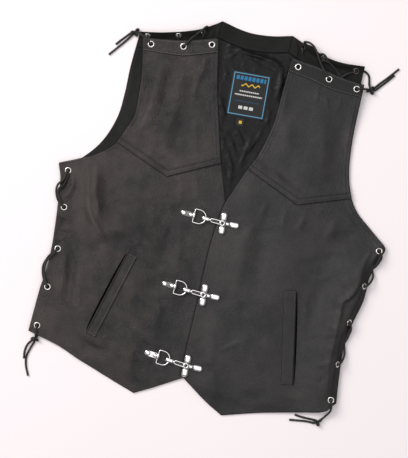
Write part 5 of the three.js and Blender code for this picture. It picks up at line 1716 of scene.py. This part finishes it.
def woven_patch(name, box, steps, material, node):
    """A small cloth on the lining, with a map in tenths of a metre from its lower left corner."""
    left, right, low, high = (box[k] for k in ("left", "right", "low", "high"))
    lean = LABEL_LEAN
    u = np.concatenate([[0, 0.006, 0.015], np.linspace(0.03, 0.97, steps), [0.985, 0.994, 1]])
    middle = ((left + right) / 2, (low + high) / 2)
    top = np.zeros((len(u), len(u), 3))
    for j, v in enumerate(u):
        for i, w in enumerate(u):
            x, y = left + (right - left) * w, low + (high - low) * v
            point, normal = cloths["lining"].seat(x - lean * (y - middle[1]), y + lean * (x - middle[0]))
            top[j, i] = point + normal * (AIR + WOVEN_WALL)
    soft = top[..., 2].copy()
    for _ in range(6):
        soft[1:-1, 1:-1] = (soft[:-2, 1:-1] + soft[2:, 1:-1] + soft[1:-1, :-2] + soft[1:-1, 2:]) / 4
    top[..., 2] = np.maximum(top[..., 2], soft)
    piece = shell(name, top, WOVEN_WALL, material)
    c, s = 1 / (1 + lean**2), lean / (1 + lean**2)
    co = np.array([v.co for v in piece.data.vertices]) / MM
    dx, dy = co[:, 0] - middle[0], co[:, 1] - middle[1]
    flat_map = np.stack([c * dx + s * dy + (right - left) / 2, c * dy - s * dx + (high - low) / 2], 1) / 100
    index = np.zeros(len(piece.data.loops), np.int32)
    piece.data.loops.foreach_get("vertex_index", index)
    layer = piece.data.uv_layers.new(name="woven")
    layer.data.foreach_set("uv", flat_map[index].astype(np.float32).ravel())
    finish_piece(piece, "label", node)


BLUE = (0.012, 0.17, 0.36)
LIGHT_BLUE = (0.12, 0.36, 0.54)
DIM_BLUE = (0.006, 0.05, 0.1)
YELLOW = (0.60, 0.40, 0.03)
WHITE = (0.58, 0.58, 0.56)


def woven(name, bars, wave_row=None):
    """A black woven cloth with bars: each has a colour, a middle, half sizes and a beat, in millimetres."""
    n = Surface(name)
    place = n.add("ShaderNodeUVMap", uv_map="woven").outputs[0]
    apart = n.add("ShaderNodeSeparateXYZ", {0: place}).outputs
    weave = n.group(WEAVE, {"Place": place, "Threads": 90.0})
    colour = n.mix(weave["Thread"], (0.004, 0.004, 0.005), (0.012, 0.012, 0.014))
    for tint, (x, y), (half_x, half_y), beat in bars:
        up = apart[1]
        if wave_row == (x, y):
            swing = n.math("MULTIPLY", n.math("SINE", n.math("MULTIPLY", apart[0], 62.0)), 0.018)
            up = n.math("SUBTRACT", apart[1], swing)
        values = {
            "Across": apart[0], "Up": up, "Middle across": x / 100, "Middle up": y / 100,
            "Half width": half_x / 100, "Half height": half_y / 100,
        }
        mask = n.group(BAR, values)["Mask"]
        if beat:
            step = n.math("FRACT", n.math("MULTIPLY", apart[0], 100 / beat))
            mask = n.math("MULTIPLY", mask, n.span(step, 0.70, 0.78, 1.0, 0.0))
        colour = n.mix(mask, colour, tint)
    return n.finish({"Base Color": colour, "Roughness": 0.75}, (0.4, 0.0002, weave["Height"]))


def frame_bars(width, height, inset, wide, tint):
    """Four bars round a label's edge."""
    x, y = width / 2, height / 2
    return [
        (tint, (x, inset), (x - inset + wide, wide), 0),
        (tint, (x, height - inset), (x - inset + wide, wide), 0),
        (tint, (inset, y), (wide, y - inset + wide), 0),
        (tint, (width - inset, y), (wide, y - inset + wide), 0),
    ]


LABEL_WIDE, LABEL_TALL = LABEL["right"] - LABEL["left"], LABEL["high"] - LABEL["low"]
label_bars = [
    *frame_bars(LABEL_WIDE, LABEL_TALL, 1.0, 0.4, DIM_BLUE),
    *frame_bars(LABEL_WIDE, LABEL_TALL, 2.4, 0.5, LIGHT_BLUE),
    (BLUE, (30, 61), (24, 3.2), 6.4),
    (YELLOW, (31, 50.5), (15, 1.1), 0),
    (WHITE, (30, 40), (16, 1.1), 3.0),
    (WHITE, (30, 34), (22, 1.1), 3.4),
    (DIM_BLUE, (30, 24), (19, 0.9), 2.8),
    (WHITE, (30, 14), (12.8, 2.5), 8.6),
]
woven_patch("woven_label", LABEL, 30, woven("label cloth", label_bars, (31, 50.5)), "label")
tab_cloth = woven("size tab cloth", [(YELLOW, (6.5, 6.5), (2.4, 2.4), 0)])
woven_patch("woven_size_tab", TAB, 8, tab_cloth, "size_tab")

# Clasps, made at the origin along X and then set on the fronts

CLASP = {
    "tab_width": 9, "plate": 1.4, "ring_bar": 21.5, "ring_half": 11, "ring_end": 42, "ring_wire": 1.15,
    "sleeve": 2.7, "nose_start": 34.2, "nose_end": 48.5, "cross": 69.4, "lobe": 5.6, "reach": 12.2,
    "right_reach": 19.4,
}


def arc(cx, cy, r, start, end, count=14):
    a = np.radians(np.linspace(start, end, count))
    return [(cx + r * math.cos(t), cy + r * math.sin(t)) for t in a]


def tip_over(part, axis, shift):
    """Turns a part by a quarter about an axis at the origin, then shifts it."""
    turn = Matrix.Rotation(math.pi / 2, 3, axis)
    bmesh.ops.rotate(part, verts=part.verts[:], cent=(0, 0, 0), matrix=turn)
    bmesh.ops.translate(part, verts=part.verts[:], vec=shift)


def cast_plate(outline, thick, soft):
    """A plate with rounded edges, from its outline."""
    b = bmesh.new()
    vertices = [b.verts.new((x, y, 0)) for x, y in outline]
    edges = [b.edges.new((p, q)) for p, q in zip(vertices, vertices[1:] + vertices[:1])]
    bmesh.ops.triangle_fill(b, edges=edges, use_beauty=True, use_dissolve=True)
    bmesh.ops.recalc_face_normals(b, faces=b.faces)
    if b.faces[:][0].normal.z < 0:
        bmesh.ops.reverse_faces(b, faces=b.faces)
    top = bmesh.ops.extrude_face_region(b, geom=b.faces[:])
    moved = [v for v in top["geom"] if isinstance(v, bmesh.types.BMVert)]
    bmesh.ops.translate(b, verts=moved, vec=(0, 0, thick))
    for f in b.faces:
        if all(v not in moved for v in f.verts) and f.normal.z > 0.5:
            f.normal_flip()
    rim = [
        e for e in b.edges
        if len(e.link_faces) == 2 and e.calc_face_angle(0) > 1.2 and all(v in moved for v in e.verts)
    ]
    bmesh.ops.bevel(b, geom=rim, offset=soft, segments=3, profile=0.6, affect="EDGES")
    bmesh.ops.recalc_face_normals(b, faces=b.faces)
    return b


def bridge(b, low, high, count):
    """Faces between two rings; a ring of one vertex is a tip."""
    for k in range(count):
        m = (k + 1) % count
        quad = [low[k % len(low)], low[m % len(low)], high[m % len(high)], high[k % len(high)]]
        b.faces.new(list(dict.fromkeys(quad)))


def turned(profile, place, count=28):
    """A round body from radius and height pairs, about an upright axis."""
    b = bmesh.new()
    rings = []
    for r, z in profile:
        plan = circle(place, r, count) if r > 0 else [place]
        rings.append([b.verts.new((x, y, z)) for x, y in plan])
    for low, high in zip(rings, rings[1:]):
        bridge(b, low, high, count)
    return b


def dome(radius, high, place, z):
    rows = [(0, z), (radius, z)]
    rows += [(radius * math.cos(a), z + high * math.sin(a)) for a in np.linspace(0.12, math.pi / 2 - 0.12, 7)]
    return turned([*rows, (0, z + high)], place)


def wire(line, radius, closed, sides=14):
    """A round bar along a line of points."""
    b = bmesh.new()
    p = np.array(line, float)
    count = len(p)
    rings = []
    for k in range(count):
        before = p[(k - 1) % count] if closed or k else p[k]
        after = p[(k + 1) % count] if closed or k < count - 1 else p[k]
        way = (after - before) / np.linalg.norm(after - before)
        across = np.cross(way, (0, 0, 1.0))
        if np.linalg.norm(across) < 0.2:
            across = np.cross(way, (0, 1.0, 0))
        across /= np.linalg.norm(across)
        lift = np.cross(across, way)
        a = np.linspace(0, 2 * np.pi, sides, endpoint=False)
        ring = p[k] + radius * (np.cos(a)[:, None] * across + np.sin(a)[:, None] * lift)
        rings.append([b.verts.new(v) for v in ring])
    pairs = list(zip(rings, rings[1:])) + ([(rings[-1], rings[0])] if closed else [])
    for low, high in pairs:
        for k in range(sides):
            m = (k + 1) % sides
            b.faces.new([low[k], high[k], high[m], low[m]])
    if not closed:
        b.faces.new(rings[0])
        b.faces.new(rings[-1][::-1])
    bmesh.ops.recalc_face_normals(b, faces=b.faces)
    return b


def boss(start, end, radius, wall, high, z, steep=0.55, square=1.0):
    """A cast boss on a round-ended plan, squarer the lower square is: upright sides, then a flat dome."""
    b = bmesh.new()
    start, end = np.array(start, float), np.array(end, float)
    way = end - start
    way = way / np.linalg.norm(way) if np.linalg.norm(way) > 0.01 else np.array([1.0, 0])
    side_way = np.array([-way[1], way[0]])
    turns = np.radians(np.linspace(-90, 90, 15))
    plan = [(abs(math.cos(t)) ** square, math.copysign(abs(math.sin(t)) ** square, t)) for t in turns]

    def ring(r, height):
        ahead = [end + r * (out * way + off * side_way) for out, off in plan]
        behind = [start - r * (out * way + off * side_way) for out, off in plan]
        return [b.verts.new((*p, height)) for p in ahead + behind]

    rings = [ring(radius, z), ring(radius, z + wall)]
    for a in np.linspace(0.16, math.pi / 2 - 0.05, 8):
        rings.append(ring(radius * math.cos(a) ** steep, z + wall + high * math.sin(a)))
    count = len(rings[0])
    for lower, upper in zip(rings, rings[1:]):
        bridge(b, lower, upper, count)
    b.faces.new(rings[0][::-1])
    b.faces.new(rings[-1])
    bmesh.ops.recalc_face_normals(b, faces=b.faces)
    return b


def painted_dark(part):
    """A part in darker chrome: painted shade on the clasps' lower faces."""
    for face in part.faces:
        face.material_index = 1
    return part


def tab_parts(bright):
    """A plate with two rivets, and the roll that holds the ring; the plate is bright chrome, a painted
    reflection, when bright is set, and darker chrome, painted shade, when not.
    """
    half, end = CLASP["tab_width"] / 2, CLASP["ring_bar"] - 1.9
    outline = [(end, -half), (end, half), *arc(half * 0.9, 0, half, 90, 270, 20)]
    plate = cast_plate(outline, CLASP["plate"], 0.45)
    if not bright:
        painted_dark(plate)
    r = CLASP["sleeve"]
    side_rows = [(1.6, 0.5), (r - 0.3, 0.5), (r, 0.8)]
    rows = [(radius, inset - half) for radius, inset in side_rows]
    rows += [(radius, half - inset) for radius, inset in reversed(side_rows)]
    roll = turned([*rows, rows[0]], (0, 0))
    tip_over(roll, "X", (CLASP["ring_bar"], 0, r))
    top = CLASP["plate"] - 0.15
    return [plate, roll, dome(4.4, 1.9, (4.6, 0), top), dome(3.8, 1.8, (16.4, 0), top)]


def ring_parts():
    bar, half, end, radius = (CLASP[k] for k in ("ring_bar", "ring_half", "ring_end", "ring_wire"))
    corner = 2.0
    straight_side = [(bar, y) for y in np.linspace(half - corner, -half + corner, 8)]
    low = arc(bar + corner, -half + corner, corner, 180, 270, 8)[1:]
    centre = end - radius - half
    bow = arc(centre, 0, half, -90, 90, 28)
    high = arc(bar + corner, half - corner, corner, 90, 180, 8)[:-1]
    plan = [*straight_side, *low, *bow, *high]
    tip = 1.6 / (end - bar)
    points = np.array([(x, y, CLASP["sleeve"] + (x - bar) * tip) for x, y in plan])
    steps = np.linspace(0, 1, 90, endpoint=False)
    return [wire(along(np.vstack([points, points[:1]]), steps), radius, True)]


def hook_parts():
    """A nose through the ring, its collar, two rails with a gate between them, and the cross plate."""
    x0, x1, cross = CLASP["nose_start"], CLASP["nose_end"], CLASP["cross"]
    half, hollow = 3.6, 1.75
    middle = CLASP["sleeve"] + 1.55
    mid_radius = (half + hollow) / 2
    loop = [*arc(x0 + half, 0, mid_radius, 90, 270), *arc(x1 - half, 0, mid_radius, -90, 90)]
    loop_line = np.array([(x, y, 0) for x, y in [*loop, loop[0]]])
    nose = wire(along(loop_line, np.linspace(0, 1, 60, endpoint=False)), (half - hollow) / 2, True)
    bmesh.ops.scale(nose, verts=nose.verts[:], vec=(1, 1, 3.1))
    tip_over(nose, "X", (0, 0, middle))
    collar = turned(
        [(0, 0), (2.2, 0), (2.7, 0.6), (1.9, 1.3), (2.9, 2.2), (2.9, 3.6), (1.9, 4.4), (0, 4.4)], (0, 0)
    )
    tip_over(collar, "Y", (x1 - 2.4, 0, middle))
    lift = CROSS_SEAT + 3.2
    rails = []
    for y in (-2.7, 2.7):
        line = np.array([(x1 + 1.2, y * 0.7, middle), (x1 + 3.6, y, middle + 0.5), (cross - 3.6, y, lift)])
        rails.append(wire(along(line, np.linspace(0, 1, 16)), 1.25, False))
    line = along(np.array([(x1 + 2, 0.0, middle - 1.2), (cross - 4, 0.0, lift - 2.0)]), np.linspace(0, 1, 6))
    gate = painted_dark(wire(line, 0.9, False))
    turns = np.linspace(0, 2 * np.pi, 36, endpoint=False)
    eye_line = np.stack([cross - 1.0 + 3.5 * np.cos(turns), 3.5 * np.sin(turns), np.full(36, lift)], 1)
    eye = wire(eye_line, 1.4, True)
    lobe, reach, far = CLASP["lobe"], CLASP["reach"], CLASP["right_reach"]
    seat = CROSS_SEAT
    # The plates round the lobes, the slots and the gate are painted dark, as shade round the lobes
    cast = [
        painted_dark(boss((cross, -reach), (cross, reach), lobe - 0.9, 1.2, 0.5, seat, 0.3)),
        painted_dark(boss((cross, 0), (cross + far + 2.4, 0), lobe - 2.0, 1.2, 0.5, seat, 0.3)),
        *(
            boss((cross, way * 9.2), (cross, way * (reach + 0.6)), lobe + 0.2, 0.9, 3.4, seat, 0.75)
            for way in (-1, 1)
        ),
        boss((cross + 7.2, 0), (cross + 7.8, 0), 2.8, 1.6, 1.9, seat),
        boss((cross + 15.9, 0), (cross + far + 2.1, 0), 5.2, 1.0, 2.8, seat, 0.68, 0.92),
        painted_dark(boss((cross + 13.6, -1.9), (cross + 13.6, 1.9), 0.9, 3.0, 0.2, seat)),
        painted_dark(boss((cross + 22.6, -1.5), (cross + 22.6, 1.5), 0.7, 3.05, 0.2, seat)),
    ]
    for part in cast:
        turn = Matrix.Rotation(math.radians(CROSS_TURN), 3, "Z")
        bmesh.ops.rotate(part, verts=part.verts[:], cent=(cross, 0, 0), matrix=turn)
    return [nose, collar, *rails, gate, eye, *cast]


def set_part(name, parts, place, turn, node):
    """Joins a clasp's parts into one mesh at their place on the vest."""
    whole = bmesh.new()
    for part in parts:
        data = bpy.data.meshes.new("part")
        part.to_mesh(data)
        part.free()
        whole.from_mesh(data)
        bpy.data.meshes.remove(data)
    turned_by = Matrix.Rotation(math.radians(turn), 4, "Z")
    whole.transform(Matrix.Scale(MM, 4) @ Matrix.Translation((*place, TAB_SEAT)) @ turned_by)
    data = bpy.data.meshes.new(name)
    whole.to_mesh(data)
    whole.free()
    data.materials.append(CHROME)
    data.materials.append(SHADED_CHROME)
    data.shade_smooth()
    finish_piece(linked(name, data), "chrome", node)


def add_clasps():
    for name, place, turn in CLASPS:
        # Only the bottom tab's plate is painted bright; the others are painted in shade
        kinds = {"tab": tab_parts(name == "bottom"), "ring": ring_parts(), "hook": hook_parts()}
        for kind, parts in kinds.items():
            set_part(f"{name}_clasp_{kind}", parts, place, turn, f"clasp_{name}_{kind}")


add_clasps()

# Floor and light

FLOOR_HALF = 3000


def add_floor():
    corners = [(-1, -1), (1, -1), (1, 1), (-1, 1)]
    n = Surface("paper floor")
    tone = n.mix(n.noise(n.place, 3.0, 2.0), (0.925, 0.862, 0.885), (0.945, 0.882, 0.905))
    material = n.finish({"Base Color": tone, "Roughness": 0.9, "Specular IOR Level": 0.1})
    points = [(x * FLOOR_HALF, y * FLOOR_HALF, -0.05) for x, y in corners]
    mesh_object("floor", points, [[0, 1, 2, 3]], [material])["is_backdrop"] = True


def add_light(name, place, side, power, colour):
    """A square lamp that faces the vest."""
    data = bpy.data.lights.new(name, "AREA")
    data.shape = "SQUARE"
    data.size = side
    data.energy = power
    data.color = colour
    light = linked(name, data)
    light.location = place
    light.rotation_euler = (-Vector(place)).to_track_quat("-Z", "Y").to_euler()


def add_world():
    world = bpy.data.worlds.new("studio")
    world.use_nodes = True
    back = world.node_tree.nodes["Background"]
    back.inputs["Color"].default_value = (1.0, 0.985, 0.99, 1)
    back.inputs["Strength"].default_value = 0.28
    bpy.context.scene.world = world


add_floor()
add_world()
add_light("key", (-2.2, 1.1, 2.3), 1.7, 69, (1.0, 0.975, 0.95))
add_light("overhead", (-0.1, 0.0, 2.5), 3.1, 40, (1.0, 0.99, 0.99))
bpy.context.scene.view_settings.view_transform = "Standard"

low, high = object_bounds()
